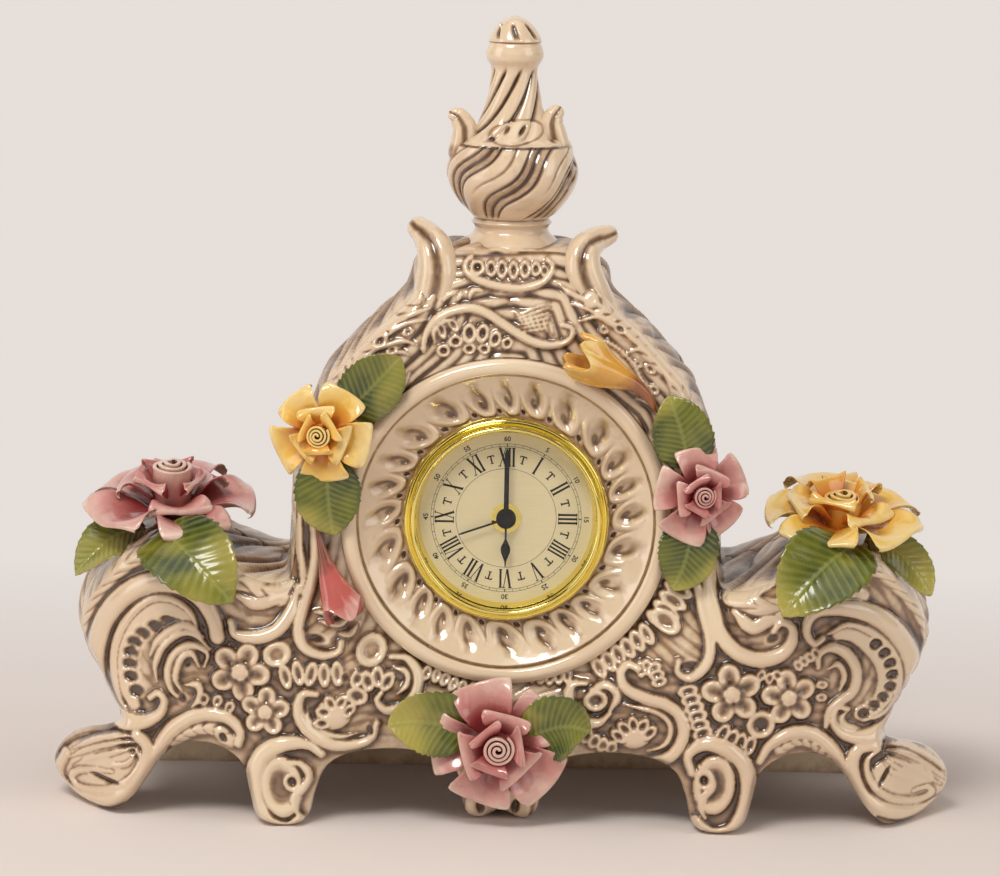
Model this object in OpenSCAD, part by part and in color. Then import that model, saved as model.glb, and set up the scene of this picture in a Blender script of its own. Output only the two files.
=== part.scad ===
// Porcelain mantel clock: a hollow ceramic case with applied roses and a press-in quartz insert.
// X runs to the right, Y runs to the back, Z is up. The origin is on the floor under the middle.

/* [Case] */
// Width over the outer feet
foot_span = 371; // [350:1:400]
// How far an outer foot stands out past the wing
foot_overhang = 8.5; // [4:0.5:14]
// Depth from the bottom rose to the back wall
case_depth = 120; // [112:1:130]
// Height of the neck block's top face
neck_top = 239; // [230:1:250]
// Height of the wings' tops
wing_top = 115; // [106:1:120]
// Height of the front wall's lower edge between the feet
arch_top = 32; // [26:1:36]
// Thickness of the ceramic wall
wall = 5; // [4:0.5:7]
// Radius of the soft corners of the case
corner_r = 11; // [8:0.5:14]
// Distance of the luted seam behind the middle plane
seam_y = 20; // [10:1:26]

/* [Tower] */
// Half width of the tower at its foot
tower_half = 88; // [80:1:95]
// Setback of the tower's front face behind the foremost part of the case
tower_setback = 22; // [18:1:26]
// Setback of the tower's back face, at its foot, from the back wall
tower_inset = 8; // [4:1:16]
// Radius of the access opening in the back
access_r = 42; // [36:1:48]

/* [Dial surround] */
// Height of the dial's middle above the floor
dial_z = 127; // [122:1:132]
// Radius to the middle of the raised ring
ring_r = 64.2; // [60:0.2:68]
// Radius of the raised ring's round section
ring_section_r = 4; // [3:0.25:5]
// Depth of the dish inside the ring
dish_depth = 7; // [5:0.5:9]
// Number of lobes in the dish
lobe_count = 24; // [16:1:32]
// Clearance between the insert's can and the hole in the case
can_clearance = 0.6; // [0.4:0.1:1]

/* [Feet] */
// Radius of the outer scroll feet
outer_foot_r = 17; // [14:0.5:20]
// Length of an outer foot from front to back
outer_foot_depth = 30; // [22:1:36]
// Distance of the second legs from the middle
leg_x = 89; // [84:1:94]
// Width of a second leg
leg_w = 25; // [20:1:28]
// Radius of each lobe of the centre foot
centre_lobe_r = 7.5; // [6:0.5:9]

/* [Finial] */
// Radius of the bulb
bulb_r = 27.4; // [24:0.2:30]
// Height of the whole clock
total_h = 335; // [322:1:345]
// Radius of the collar's foot
collar_r = 19; // [17:0.5:22]
// Radius of the neck above the bulb
stem_r = 8.3; // [7:0.1:10]
// Radius of the knob under the cap
knob_r = 11.7; // [10:0.1:13]

/* [Roses] */
// Petal radius of the left wing rose
wing_left_rose_r = 34; // [28:0.5:38]
// Petal radius of the right wing rose
wing_right_rose_r = 33; // [28:0.5:38]
// Petal radius of the left tower rose
tower_left_rose_r = 19.5; // [16:0.5:22]
// Petal radius of the right tower rose
tower_right_rose_r = 19; // [16:0.5:22]
// Petal radius of the bottom rose
bottom_rose_r = 27; // [23:0.5:30]
// Thickness of a petal
petal_t = 1.8; // [1.4:0.1:2.4]
// Thickness of a leaf
leaf_t = 2; // [1.6:0.1:2.6]

/* [Insert] */
// Outer diameter of the bezel
bezel_od = 85; // [80:0.5:90]
// Width of the bezel's ring round the dial
bezel_w = 5.5; // [4.5:0.25:7]
// Height of the bezel above the dish
bezel_h = 8; // [6.5:0.25:10]
// Width of the bezel's flange outside the can
flange_w = 3.6; // [3:0.1:4.5]
// Length of the can behind the flange
can_len = 10; // [8:0.5:14]
// Thickness of the can's wall
can_wall = 1.6; // [1.2:0.1:2.2]
// Thickness of the lens
lens_t = 1.6; // [1.2:0.1:2]
// Thickness of the dial disc
dial_t = 0.5; // [0.4:0.05:0.8]

/* [Hands] */
// Length of the minute hand
minute_len = 29.6; // [26:0.2:31]
// Length of the hour hand
hour_len = 20; // [17:0.2:23]
// Length of the alarm hand
alarm_len = 20.5; // [17:0.2:23]
// Thickness of a hand
hand_t = 0.35; // [0.25:0.05:0.5]

/* [Movement] */
// Side of the square movement case
move_side = 56; // [55:0.5:60]
// Depth of the movement case
move_depth = 15.5; // [15.2:0.1:17]
// Wall of the movement case
move_wall = 1.5; // [1.2:0.1:1.8]
// Radius of the battery
battery_r = 7; // [6.8:0.05:7.2]
// Length of the battery's can
battery_len = 49; // [48:0.1:49.5]
// Module of the hand gears
hand_module = 0.35; // [0.34:0.005:0.36]
// Module of the train gears
train_module = 0.2; // [0.19:0.005:0.205]
// Radial clearance of a shaft in its bore
run_fit = 0.06; // [0.02:0.01:0.1]

/* [Hidden] */

// Smoothness of round parts, of soft corners and of scroll tubes
fine = 96;
ring_fine = 64;
soft = 24;
ball = 16;
tube_sides = 6;
// Overrun of cuts, and thickness of the slices that a hull is drawn over
over = 1;
slice = 0.2;

// Colours
glaze = [0.86, 0.78, 0.66];
rose_pink = [0.82, 0.56, 0.54];
rose_yellow = [0.93, 0.75, 0.34];
leaf_green = [0.5, 0.6, 0.2];
brass = [0.86, 0.72, 0.3];
black = [0.1, 0.1, 0.1];
plastic = [0.2, 0.2, 0.21];
steel = [0.7, 0.7, 0.72];

// Places that follow from the driving sizes
wing_half = foot_span / 2 - foot_overhang;
tower_front = case_depth / 2 - tower_setback;
tower_back = case_depth / 2 - tower_inset;
back_y = case_depth / 2;
front_y = -case_depth / 2;

// Front of the low part of the case: distance along X and to the front, both as shares
front_shares = [[0, 0.68], [0.25, 0.74], [0.5, 0.84], [0.7, 0.76], [0.85, 0.62], [0.94, 0.46], [1, 0.16]];
function front_at(x) = front_y * lookup(abs(x) / wing_half, front_shares);

// Upright sections of the low part: X, top, lower edge and back as shares of the wing half width,
// of the wing's height, of the arch height and of the distance to the back wall
base_shares = [[0, 0.9, 1, 1], [0.3, 0.9, 1, 1], [0.52, 0.84, 1, 1], [0.66, 0.93, 1, 1],
    [0.8, 1, 1.05, 1], [0.9, 0.94, 1.25, 0.97], [0.97, 0.82, 1.5, 0.9], [1, 0.7, 1.9, 0.75]];

// Level rows of the tower: height, half width, front and back as shares of the neck's height,
// the tower's half width, its front distance and its back distance
tower_shares = [[0.38, 1, 1, 1], [0.45, 0.99, 1, 0.95], [0.6, 0.975, 1, 0.85], [0.72, 0.885, 1, 0.74],
    [0.77, 0.83, 1, 0.7], [0.805, 0.75, 0.99, 0.67], [0.853, 0.625, 0.95, 0.62],
    [0.91, 0.466, 0.86, 0.57], [0.95, 0.4, 0.78, 0.53], [0.97, 0.34, 0.72, 0.51], [1, 0.33, 0.7, 0.5]];

// A rounded rectangle between two corners
module soft_rect(low, high, r) {
    hull()
        for (x = [low[0] + r, high[0] - r], y = [low[1] + r, high[1] - r])
            translate([x, y]) circle(r = r, $fn = soft);
}

// One upright section of the low part, at a station, made smaller by a wall
module base_section(s, side, inset) {
    x = side * s[0] * (wing_half - inset);
    top = s[1] * wing_top - inset;
    low = inset > 0 ? -over : s[2] * arch_top;
    front = front_at(s[0] * wing_half) + inset;
    back = s[3] * back_y - inset;
    r = corner_r - inset;
    lean = (front + tower_front) * s[0] * s[0];
    translate([x - slice / 2, 0, 0]) rotate([90, 0, 90]) linear_extrude(slice)
        hull() {
            soft_rect([front, low], [back, (low + top) / 2], r);
            soft_rect([front - lean / 2, top - 2 * r - slice], [back, top], r);
        }
}

// The low part with both wings, as a chain of sections
module base_body(inset) {
    for (side = [-1, 1], i = [0:len(base_shares) - 2])
        hull() {
            base_section(base_shares[i], side, inset);
            base_section(base_shares[i + 1], side, inset);
        }
}

// One level row of the tower, made smaller by a wall
module tower_row(s, inset) {
    half = s[1] * tower_half - inset;
    z = s[0] * neck_top - (s[0] == 1 ? inset : 0);
    translate([0, 0, z - slice])
        linear_extrude(slice)
            soft_rect([-half, -s[2] * tower_front + inset], [half, s[3] * tower_back - inset],
                corner_r - inset);
}

// The tower, as a chain of rows
module tower_body(inset) {
    for (i = [0:len(tower_shares) - 2])
        hull() {
            tower_row(tower_shares[i], inset);
            tower_row(tower_shares[i + 1], inset);
        }
}

// A round bar that lies along Y, between two depths
module bar_y(r, y0, y1, x = 0, z = 0) {
    translate([x, y1, z]) rotate([90, 0, 0]) cylinder(r = r, h = y1 - y0);
}

// Points of a ring round one point of a tube that lies on the front of the case
function tube_ring(p, along, r) =
    let (side = [along[2], 0, -along[0]] / norm([along[0], 0, along[2]]))
    [for (k = [0:tube_sides - 1])
        let (a = 360 * k / tube_sides) p + r * (cos(a) * side + sin(a) * [0, -1, 0])];

// A closed tube through a list of points, with one radius for each
module tube(points, radii) {
    n = len(points);
    rings = [for (i = [0:n - 1])
        tube_ring(points[i], points[min(i + 1, n - 1)] - points[max(i - 1, 0)], radii[i])];
    faces = concat(
        [[for (k = [tube_sides - 1:-1:0]) k]],
        [for (i = [0:n - 2], k = [0:tube_sides - 1])
            let (a = i * tube_sides + k, b = i * tube_sides + (k + 1) % tube_sides)
            each [[a, b + tube_sides, a + tube_sides], [a, b, b + tube_sides]]],
        [[for (k = [0:tube_sides - 1]) (n - 1) * tube_sides + k]]);
    polyhedron([for (ring = rings) each ring], faces, convexity = 4);
}

// Radii that swell from the ends to the middle of a scroll
function swell(r, end_share, steps) =
    [for (i = [0:steps]) r * (end_share + (1 - end_share) * sin(180 * i / steps))];

// Carved strokes on the front: thickness as a share of the wall, then X and Z of each point as
// shares of the wing's half width
stroke_shares = [
    // Left wing's scroll
    [0.9, [[-0.677, 0.423], [-0.697, 0.495], [-0.755, 0.541], [-0.823, 0.549], [-0.890, 0.522],
        [-0.939, 0.453], [-0.956, 0.371], [-0.943, 0.298], [-0.898, 0.238], [-0.840, 0.216],
        [-0.787, 0.240], [-0.797, 0.285]]],
    // Hook beside the dial on the left
    [0.75, [[-0.465, 0.777], [-0.439, 0.629], [-0.467, 0.497], [-0.473, 0.427], [-0.421, 0.393],
        [-0.377, 0.417]]],
    // Strand under it
    [0.7, [[-0.636, 0.468], [-0.621, 0.438], [-0.577, 0.432], [-0.510, 0.454], [-0.479, 0.521]]],
    // Left medallion
    [0.65, [[-0.428, 0.301], [-0.470, 0.293], [-0.474, 0.249], [-0.448, 0.214], [-0.398, 0.184],
        [-0.343, 0.181], [-0.303, 0.200]]],
    // Small scroll beside it
    [0.6, [[-0.261, 0.391], [-0.224, 0.389], [-0.197, 0.357], [-0.201, 0.313], [-0.231, 0.274],
        [-0.270, 0.267]]],
    // Scroll over the left arch
    [0.75, [[-0.844, 0.068], [-0.808, 0.134], [-0.777, 0.198], [-0.729, 0.237], [-0.680, 0.249],
        [-0.636, 0.238], [-0.608, 0.211]]],
    // Rim of the left leg
    [0.85, [[-0.419, 0.161], [-0.454, 0.183], [-0.510, 0.182], [-0.556, 0.156], [-0.575, 0.104],
        [-0.567, 0.047], [-0.539, -0.001]]],
    // Right wing's scroll
    [0.85, [[0.741, 0.453], [0.703, 0.464], [0.732, 0.521], [0.788, 0.526], [0.849, 0.516],
        [0.900, 0.482], [0.938, 0.431], [0.951, 0.372], [0.938, 0.311], [0.898, 0.254],
        [0.842, 0.225], [0.794, 0.231], [0.768, 0.259]]],
    // Leaf inside it
    [0.65, [[0.730, 0.387], [0.762, 0.434], [0.799, 0.416], [0.821, 0.377], [0.810, 0.332],
        [0.778, 0.303], [0.752, 0.247]]],
    // Hook beside the dial on the right
    [0.8, [[0.504, 0.716], [0.482, 0.640], [0.474, 0.565], [0.487, 0.509], [0.502, 0.460],
        [0.544, 0.416], [0.595, 0.401], [0.644, 0.413], [0.669, 0.444], [0.668, 0.477]]],
    // Strand inside it
    [0.65, [[0.431, 0.623], [0.448, 0.564], [0.464, 0.504], [0.479, 0.445], [0.473, 0.391],
        [0.436, 0.355], [0.406, 0.367]]],
    // Right medallion
    [0.65, [[0.313, 0.376], [0.271, 0.362], [0.286, 0.327], [0.330, 0.306], [0.379, 0.291],
        [0.412, 0.263], [0.420, 0.219], [0.396, 0.174], [0.345, 0.150], [0.292, 0.149]]],
    // Small scroll beside the bottom rose
    [0.55, [[0.193, 0.339], [0.160, 0.334], [0.154, 0.291], [0.176, 0.252], [0.220, 0.246]]],
    // Scroll over the right arch
    [0.75, [[0.600, 0.162], [0.625, 0.204], [0.673, 0.231], [0.724, 0.230], [0.769, 0.193],
        [0.795, 0.137], [0.820, 0.084]]],
    // Rim of the right leg
    [0.85, [[0.440, 0.133], [0.433, 0.175], [0.469, 0.201], [0.521, 0.190], [0.563, 0.154],
        [0.576, 0.102], [0.565, 0.041]]],
    // Band across the neck
    [0.6, [[-0.200, 1.112], [-0.194, 1.148], [-0.141, 1.203], [-0.060, 1.204], [0.027, 1.152],
        [0.117, 1.133], [0.145, 1.150]]],
    // Cup band under the finial
    [0.5, [[0.089, 1.292], [0.029, 1.262], [-0.050, 1.270], [-0.104, 1.304]]]];
stroke_end_share = 0.5;
// Flowers on the front, as low round bosses: X and Z as shares of the wing's half width
flower_shares = [[-0.613, 0.351], [-0.551, 0.256], [0.532, 0.322], [0.667, 0.315]];
flower_r = 10;
flower_h = 1.6;
flower_sides = 10;
// Band of heights over which the front passes from the low part to the tower, as shares of wing_top
shoulder_shares = [0.74, 0.92];

// Depth of the front's surface: the low part bows, and the tower leans in with height
tower_fronts = [for (s = tower_shares) [s[0], s[2]]];
function relief_y(x, z) =
    let (up = lookup(z / wing_top, [[shoulder_shares[0], 0], [shoulder_shares[1], 1]]))
    front_at(x) * (1 - up) - tower_front * lookup(z / neck_top, tower_fronts) * up;
module front_scrolls() {
    for (s = stroke_shares)
        tube([for (p = s[1]) [p[0] * wing_half, relief_y(p[0] * wing_half, p[1] * wing_half),
                p[1] * wing_half]],
            swell(s[0] * wall, stroke_end_share, len(s[1]) - 1));
    for (s = flower_shares)
        bar_y(flower_r, front_at(s[0] * wing_half) - flower_h, front_at(s[0] * wing_half) + wall / 2,
            s[0] * wing_half, s[1] * wing_half, $fn = flower_sides);
}

// The two horns at the shoulder, each a curved tapering tube
horn_shares = [[0.36, 0.95, 0.6], [0.41, 0.985, 0.75], [0.445, 1.02, 0.95], [0.48, 1.045, 1],
    [0.52, 1.052, 0.85], [0.545, 1.045, 0.5]];
horn_r = 7;
module horns() {
    for (side = [0, 1])
        mirror([side, 0, 0])
            tube([for (s = horn_shares) [s[0] * tower_half, -horn_r / 2, s[1] * neck_top]],
                [for (s = horn_shares) s[2] * horn_r]);
}

// The outer scroll foot: a flat-bottomed roll with an arm that climbs to the wing
outer_foot_x = foot_span / 2 - outer_foot_r * 1.25;
outer_foot_y = front_y * 0.33;
foot_roll_share = 0.25;
module foot_ball(x, z, r) {
    translate([x, outer_foot_y, z])
        scale([1, outer_foot_depth / outer_foot_r / 2, 1]) sphere(r = r, $fn = ball);
}
module outer_feet() {
    for (side = [0, 1])
        mirror([side, 0, 0]) {
            hull()
                for (s = [-1, 1])
                    foot_ball(outer_foot_x + s * outer_foot_r * foot_roll_share, outer_foot_r, outer_foot_r);
            hull() {
                foot_ball(outer_foot_x - outer_foot_r * 0.5, outer_foot_r * 1.25, outer_foot_r * 0.75);
                foot_ball(outer_foot_x - outer_foot_r * 1.1, arch_top * 1.5, outer_foot_r * 0.75);
            }
        }
}

// The second leg: a tongue that swells forward and stands on a rounded toe
leg_y = front_at(leg_x);
module second_legs() {
    for (side = [0, 1])
        mirror([side, 0, 0]) {
            hull() {
                translate([leg_x, leg_y + leg_w * 0.42, arch_top * 1.3])
                    sphere(r = leg_w * 0.55, $fn = ball);
                translate([leg_x, leg_y + leg_w * 0.3, arch_top * 0.62])
                    sphere(r = leg_w * 0.48, $fn = ball);
            }
            hull() {
                translate([leg_x, leg_y + leg_w * 0.3, arch_top * 0.62])
                    sphere(r = leg_w * 0.48, $fn = ball);
                translate([leg_x, leg_y + leg_w * 0.28, leg_w * 0.3])
                    sphere(r = leg_w * 0.36, $fn = ball);
            }
        }
}

// The centre foot with two lobes
foot_depth_share = 1.44;
centre_foot_y = front_at(0) + centre_lobe_r * foot_depth_share;
module centre_foot() {
    for (side = [-1, 1])
        hull() {
            translate([side * centre_lobe_r * 1.1, centre_foot_y, centre_lobe_r])
                sphere(r = centre_lobe_r * 1.08, $fn = ball);
            translate([side * centre_lobe_r * 1.1, centre_foot_y, arch_top * 1.15])
                sphere(r = centre_lobe_r * 1.2, $fn = ball);
        }
}

// The back wall below the wings, down to the floor
skirt_half = wing_half * 0.88;
module back_skirt() {
    translate([-skirt_half, back_y - wall, 0])
        cube([2 * skirt_half, wall, arch_top * 1.6]);
}

// The raised ring round the dish
module dial_ring() {
    translate([0, -tower_front, dial_z]) rotate([90, 0, 0])
        rotate_extrude($fn = ring_fine)
            translate([ring_r, 0]) circle(r = ring_section_r, $fn = 10);
}

// Lobes that stand in the dish, each a short tube that runs outwards
can_r = bezel_od / 2 - flange_w;
hole_r = can_r + can_clearance;
dish_r = ring_r - ring_section_r * 0.6;
seat_y = -tower_front + dish_depth;
lobe_shares = [[0.14, 0.8], [0.4, 1], [0.7, 1.05], [0.95, 0.6]];
lobe_r = 2.6;
dish_floor_r = bezel_od / 2 + over;
function dish_y(r) = seat_y - dish_depth * pow(max(0, r - dish_floor_r) / (dish_r - dish_floor_r), 2);
module dish_lobes() {
    for (k = [0:lobe_count - 1])
        translate([0, 0, dial_z]) rotate([0, 360 * k / lobe_count, 0])
            tube([for (s = lobe_shares)
                    let (r = bezel_od / 2 + s[0] * (dish_r - bezel_od / 2))
                    [r, dish_y(r) + lobe_r * 0.35, lobe_r * sin(360 * s[0]) * 0.5]],
                [for (s = lobe_shares) s[1] * lobe_r]);
}

// The solid behind the dish, and the hollow of the dish itself
module dish_back() {
    bar_y(ring_r, -tower_front, seat_y + wall, 0, dial_z, $fn = ring_fine);
}
module dish_cut() {
    steps = 4;
    translate([0, 0, dial_z]) rotate([90, 0, 0])
        rotate_extrude($fn = ring_fine)
            polygon(concat([[0, -seat_y]],
                [for (i = [0:steps])
                    let (r = dish_floor_r + (dish_r - dish_floor_r) * i / steps)
                    [r, -dish_y(r)]],
                [[dish_r, tower_front + ring_section_r * 2], [0, tower_front + ring_section_r * 2]]));
}

// The whole outside of the case, also used to cut what sits on it
module case_outside() {
    base_body(0);
    tower_body(0);
    back_skirt();
    dial_ring();
    front_scrolls();
    horns();
    outer_feet();
    second_legs();
    centre_foot();
}

// The shell with its openings
module case_shell() {
    difference() {
        union() {
            difference() {
                case_outside();
                base_body(wall);
                tower_body(wall);
            }
            dish_back();
        }
        dish_cut();
        bar_y(hole_r, -case_depth, seat_y + wall + over, 0, dial_z, $fn = fine);
        bar_y(access_r, seam_y, case_depth, 0, dial_z, $fn = ring_fine);
        floor_cut();
    }
    intersection() {
        dish_lobes();
        bar_y(dish_r + over, -case_depth, seat_y + wall / 2, 0, dial_z, $fn = ring_fine);
    }
}

// Everything below the floor
module floor_cut() {
    translate([-foot_span, -case_depth, -case_depth])
        cube([2 * foot_span, 2 * case_depth, case_depth]);
}

// A block on one side of the seam, wide enough for the case
module seam_side(y0, y1) {
    translate([-foot_span, y0, -over])
        cube([2 * foot_span, y1 - y0, total_h]);
}

// The front shell is parted into the block round the dial and a base on each side of it
dial_block_low = arch_top * 1.56;
dial_block_half = tower_half * 1.07;
module dial_block() {
    translate([-dial_block_half, -case_depth, dial_block_low])
        cube([2 * dial_block_half, 2 * case_depth, total_h]);
}
module front_part() {
    color(glaze)
        intersection() {
            case_shell();
            seam_side(-case_depth, seam_y);
            children();
        }
}
module base_part(side) {
    difference() {
        translate([side < 0 ? -foot_span : 0, -case_depth, -over])
            cube([foot_span, 2 * case_depth, total_h]);
        dial_block();
    }
}

module front_tower() { front_part() dial_block(); }
module front_left() { front_part() base_part(-1); }
module front_right() { front_part() base_part(1); }

module case_back() {
    color(glaze)
        intersection() {
            case_shell();
            seam_side(seam_y, case_depth);
        }
}

// Outline of the finial: radius and height as shares of the bulb's radius and the finial's height
finial_h = total_h - neck_top;
finial_shares = [[0.62, 0.13], [0.75, 0.17], [0.93, 0.24], [1, 0.33], [0.96, 0.4], [0.84, 0.465],
    [0.6, 0.56], [0.42, 0.66]];
cap_shares = [[0.92, 0.9], [0.78, 0.94], [0.5, 0.98], [0, 1]];
cavity_shares = [[0.42, 0], [0.42, 0.15], [0.62, 0.24], [0.72, 0.33], [0.6, 0.42], [0.36, 0.52], [0, 0.58]];
ear_shares = [[0.78, 0.44, 0.17], [0.94, 0.5, 0.19], [1, 0.57, 0.16], [0.9, 0.61, 0.09]];
module finial() {
    color(glaze)
        translate([0, 0, neck_top]) {
            difference() {
                rotate_extrude($fn = fine)
                    polygon(concat([[0, 0], [collar_r, 0], [collar_r * 0.9, finial_h * 0.12]],
                        [for (s = finial_shares) [s[0] * bulb_r, s[1] * finial_h]],
                        [[stem_r, finial_h * 0.74], [stem_r, finial_h * 0.8],
                            [knob_r, finial_h * 0.85], [knob_r, finial_h * 0.89]],
                        [for (s = cap_shares) [s[0] * knob_r, s[1] * finial_h]]));
                rotate_extrude($fn = fine)
                    polygon(concat([[0, -over], [cavity_shares[0][0] * bulb_r, -over]],
                        [for (s = cavity_shares) [s[0] * bulb_r, s[1] * finial_h]]));
            }
            for (side = [-1, 1], i = [0:len(ear_shares) - 2])
                hull()
                    for (s = [ear_shares[i], ear_shares[i + 1]])
                        translate([side * s[0] * bulb_r, 0, s[1] * finial_h])
                            sphere(r = s[2] * bulb_r, $fn = ball);
        }
}

// A curved sheet from a grid of points, thickened downwards: rows run along, columns across
module sheet(grid, t) {
    rows = len(grid);
    cols = len(grid[0]);
    n = rows * cols;
    top = [for (row = grid) each row];
    low = [for (p = top) p - [0, 0, t]];
    function at(i, j) = i * cols + j;
    faces = concat(
        [for (i = [0:rows - 2], j = [0:cols - 2])
            each [[at(i, j), at(i + 1, j + 1), at(i + 1, j)], [at(i, j), at(i, j + 1), at(i + 1, j + 1)]]],
        [for (i = [0:rows - 2], j = [0:cols - 2])
            each [[n + at(i, j), n + at(i + 1, j), n + at(i + 1, j + 1)],
                [n + at(i, j), n + at(i + 1, j + 1), n + at(i, j + 1)]]],
        [for (i = [0:rows - 2])
            each [[at(i, 0), at(i + 1, 0), n + at(i + 1, 0)], [at(i, 0), n + at(i + 1, 0), n + at(i, 0)],
                [at(i, cols - 1), n + at(i + 1, cols - 1), at(i + 1, cols - 1)],
                [at(i, cols - 1), n + at(i, cols - 1), n + at(i + 1, cols - 1)]]],
        [for (j = [0:cols - 2])
            each [[at(0, j), n + at(0, j + 1), at(0, j + 1)], [at(0, j), n + at(0, j), n + at(0, j + 1)],
                [at(rows - 1, j), at(rows - 1, j + 1), n + at(rows - 1, j + 1)],
                [at(rows - 1, j), n + at(rows - 1, j + 1), n + at(rows - 1, j)]]]);
    polyhedron(concat(top, low), faces, convexity = 6);
}

// A petal: it rises from the heart, widens to a square lip and rolls down at its edge
petal_rows = 4;
petal_cols = 2;
petal_width_shares = [[0, 0.3], [0.25, 0.6], [0.6, 0.98], [0.85, 1], [1, 0.8]];
function petal_grid(r0, r1, half_w, z0, rise, roll) =
    [for (i = [0:petal_rows])
        let (u = i / petal_rows, w = half_w * lookup(u, petal_width_shares),
            z = z0 + rise * sin(110 * u) - roll * pow(u, 5))
        [for (j = [-petal_cols / 2:petal_cols / 2])
            let (v = 2 * j / petal_cols)
            [r0 + (r1 - r0) * u * (1 - 0.08 * v * v), v * w, z + 0.12 * w * v * v]]];

// Sizes of a rose as shares of its petal radius: heart radius and height, inner ring of petals
heart_share = 0.24;
heart_h_share = 0.72;
outer_petals = 5;
inner_petals = 3;
module rose_heart_solid(r, sink) {
    translate([0, 0, -sink])
        cylinder(r = r * heart_share, h = sink + r * heart_h_share, $fn = soft);
}
// The room that the heart takes out of what surrounds it
module heart_room(r, sink) {
    translate([0, 0, -sink - over])
        cylinder(r = r * heart_share / cos(180 / soft), h = sink + r * heart_h_share + 2 * over, $fn = soft);
}
module rose_petals_solid(r) {
    for (k = [0:outer_petals - 1])
        rotate([0, 0, 360 * k / outer_petals])
            sheet(petal_grid(r * heart_share * 0.9, r, r * 0.5, r * 0.22, r * 0.16, r * 0.12), petal_t);
    for (k = [0:inner_petals - 1])
        rotate([0, 0, 360 * k / inner_petals + 36])
            sheet(petal_grid(r * heart_share * 0.9, r * 0.66, r * 0.4, r * 0.34, r * 0.3, r * 0.06), petal_t);
}

// A leaf: base at the rose's middle, a fold along its rib and a tip that droops
leaf_rows = 6;
leaf_width_shares = [[0, 0.45], [0.2, 0.9], [0.45, 1], [0.75, 0.68], [1, 0.06]];
function leaf_grid(len, half_w, z0, droop) =
    [for (i = [0:leaf_rows])
        let (u = i / leaf_rows, w = half_w * lookup(u, leaf_width_shares))
        [for (v = [-1, -0.5, 0, 0.5, 1])
            [u * len, v * w, z0 - droop * u * u + 0.14 * w * abs(v)]]];
module leaf(len, half_w, z0, droop, turn) {
    rotate([0, 0, turn]) sheet(leaf_grid(len, half_w, z0, droop), leaf_t);
}

// Where each rose sits: X, Y, Z of its seat, tilt about X and turn about its own axis
wing_rose_x = wing_half * 0.79;
wing_rose_y = front_y * 0.1;
tower_rose_x = tower_half * 0.84;
tower_rose_y = -tower_front;
bottom_rose_y = front_at(0);
module at_wing_left() {
    translate([-wing_rose_x, wing_rose_y, wing_top]) rotate([12, 0, 0]) children();
}
module at_wing_right() {
    translate([wing_rose_x, wing_rose_y, wing_top]) rotate([12, 0, 0]) children();
}
module at_tower_left() {
    translate([-tower_rose_x, tower_rose_y, dial_z * 1.285]) rotate([90, 0, -14]) children();
}
module at_tower_right() {
    translate([tower_rose_x * 1.05, tower_rose_y, dial_z * 1.11]) rotate([90, 0, 14]) children();
}
module at_bottom() {
    translate([0, bottom_rose_y, arch_top * 1.1]) rotate([90, 0, 0]) rotate([0, 0, 18]) children();
}

// How far each heart reaches into the case's surface before it is cut to it
heart_sink = 8;

// Leaves of each rose: length, half width and start height as shares of the petal radius, droop
// as a share of the length, and the turn in the rose's own plane
wing_leaf_shares = [[1.3, 0.42, 0.12, 0.5, -72], [1.25, 0.4, 0.12, 0.5, -150]];
wing_right_leaf_shares = [[1.3, 0.42, 0.12, 0.5, -108], [1.25, 0.4, 0.12, 0.5, -32]];
tower_left_leaf_shares = [[1.75, 0.52, 0.16, 0.04, 62], [1.7, 0.52, 0.16, 0.04, -78]];
tower_right_leaf_shares = [[1.75, 0.5, 0.16, 0.04, 100], [1.7, 0.5, 0.16, 0.04, -95]];
bottom_leaf_shares = [[1.5, 0.42, 0.17, 0, 148], [1.4, 0.4, 0.17, 0, 8]];
module rose_leaves_solid(r, shares) {
    for (s = shares)
        leaf(s[0] * r, s[1] * r, s[2] * r, s[3] * s[0] * r, s[4]);
}

module cut_to_case() {
    difference() {
        children();
        case_outside();
    }
}

module wing_left_heart() {
    color(rose_pink) cut_to_case() at_wing_left() rose_heart_solid(wing_left_rose_r, heart_sink);
}
module wing_right_heart() {
    color(rose_yellow) cut_to_case() at_wing_right() rose_heart_solid(wing_right_rose_r, heart_sink);
}
module tower_left_heart() {
    color(rose_yellow) cut_to_case() at_tower_left() rose_heart_solid(tower_left_rose_r, heart_sink);
}
module tower_right_heart() {
    color(rose_pink) cut_to_case() at_tower_right() rose_heart_solid(tower_right_rose_r, heart_sink);
}
module bottom_heart() {
    color(rose_pink) cut_to_case() at_bottom() rose_heart_solid(bottom_rose_r, heart_sink);
}

module petals_on(r) {
    difference() {
        rose_petals_solid(r);
        heart_room(r, heart_sink);
    }
}
module wing_left_petals() {
    color(rose_pink) cut_to_case() at_wing_left() petals_on(wing_left_rose_r);
}
module wing_right_petals() {
    color(rose_yellow) cut_to_case() at_wing_right() petals_on(wing_right_rose_r);
}
module tower_left_petals() {
    color(rose_yellow) cut_to_case() at_tower_left() petals_on(tower_left_rose_r);
}
module tower_right_petals() {
    color(rose_pink) cut_to_case() at_tower_right() petals_on(tower_right_rose_r);
}
module bottom_petals() {
    color(rose_pink) cut_to_case() at_bottom() petals_on(bottom_rose_r);
}

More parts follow.
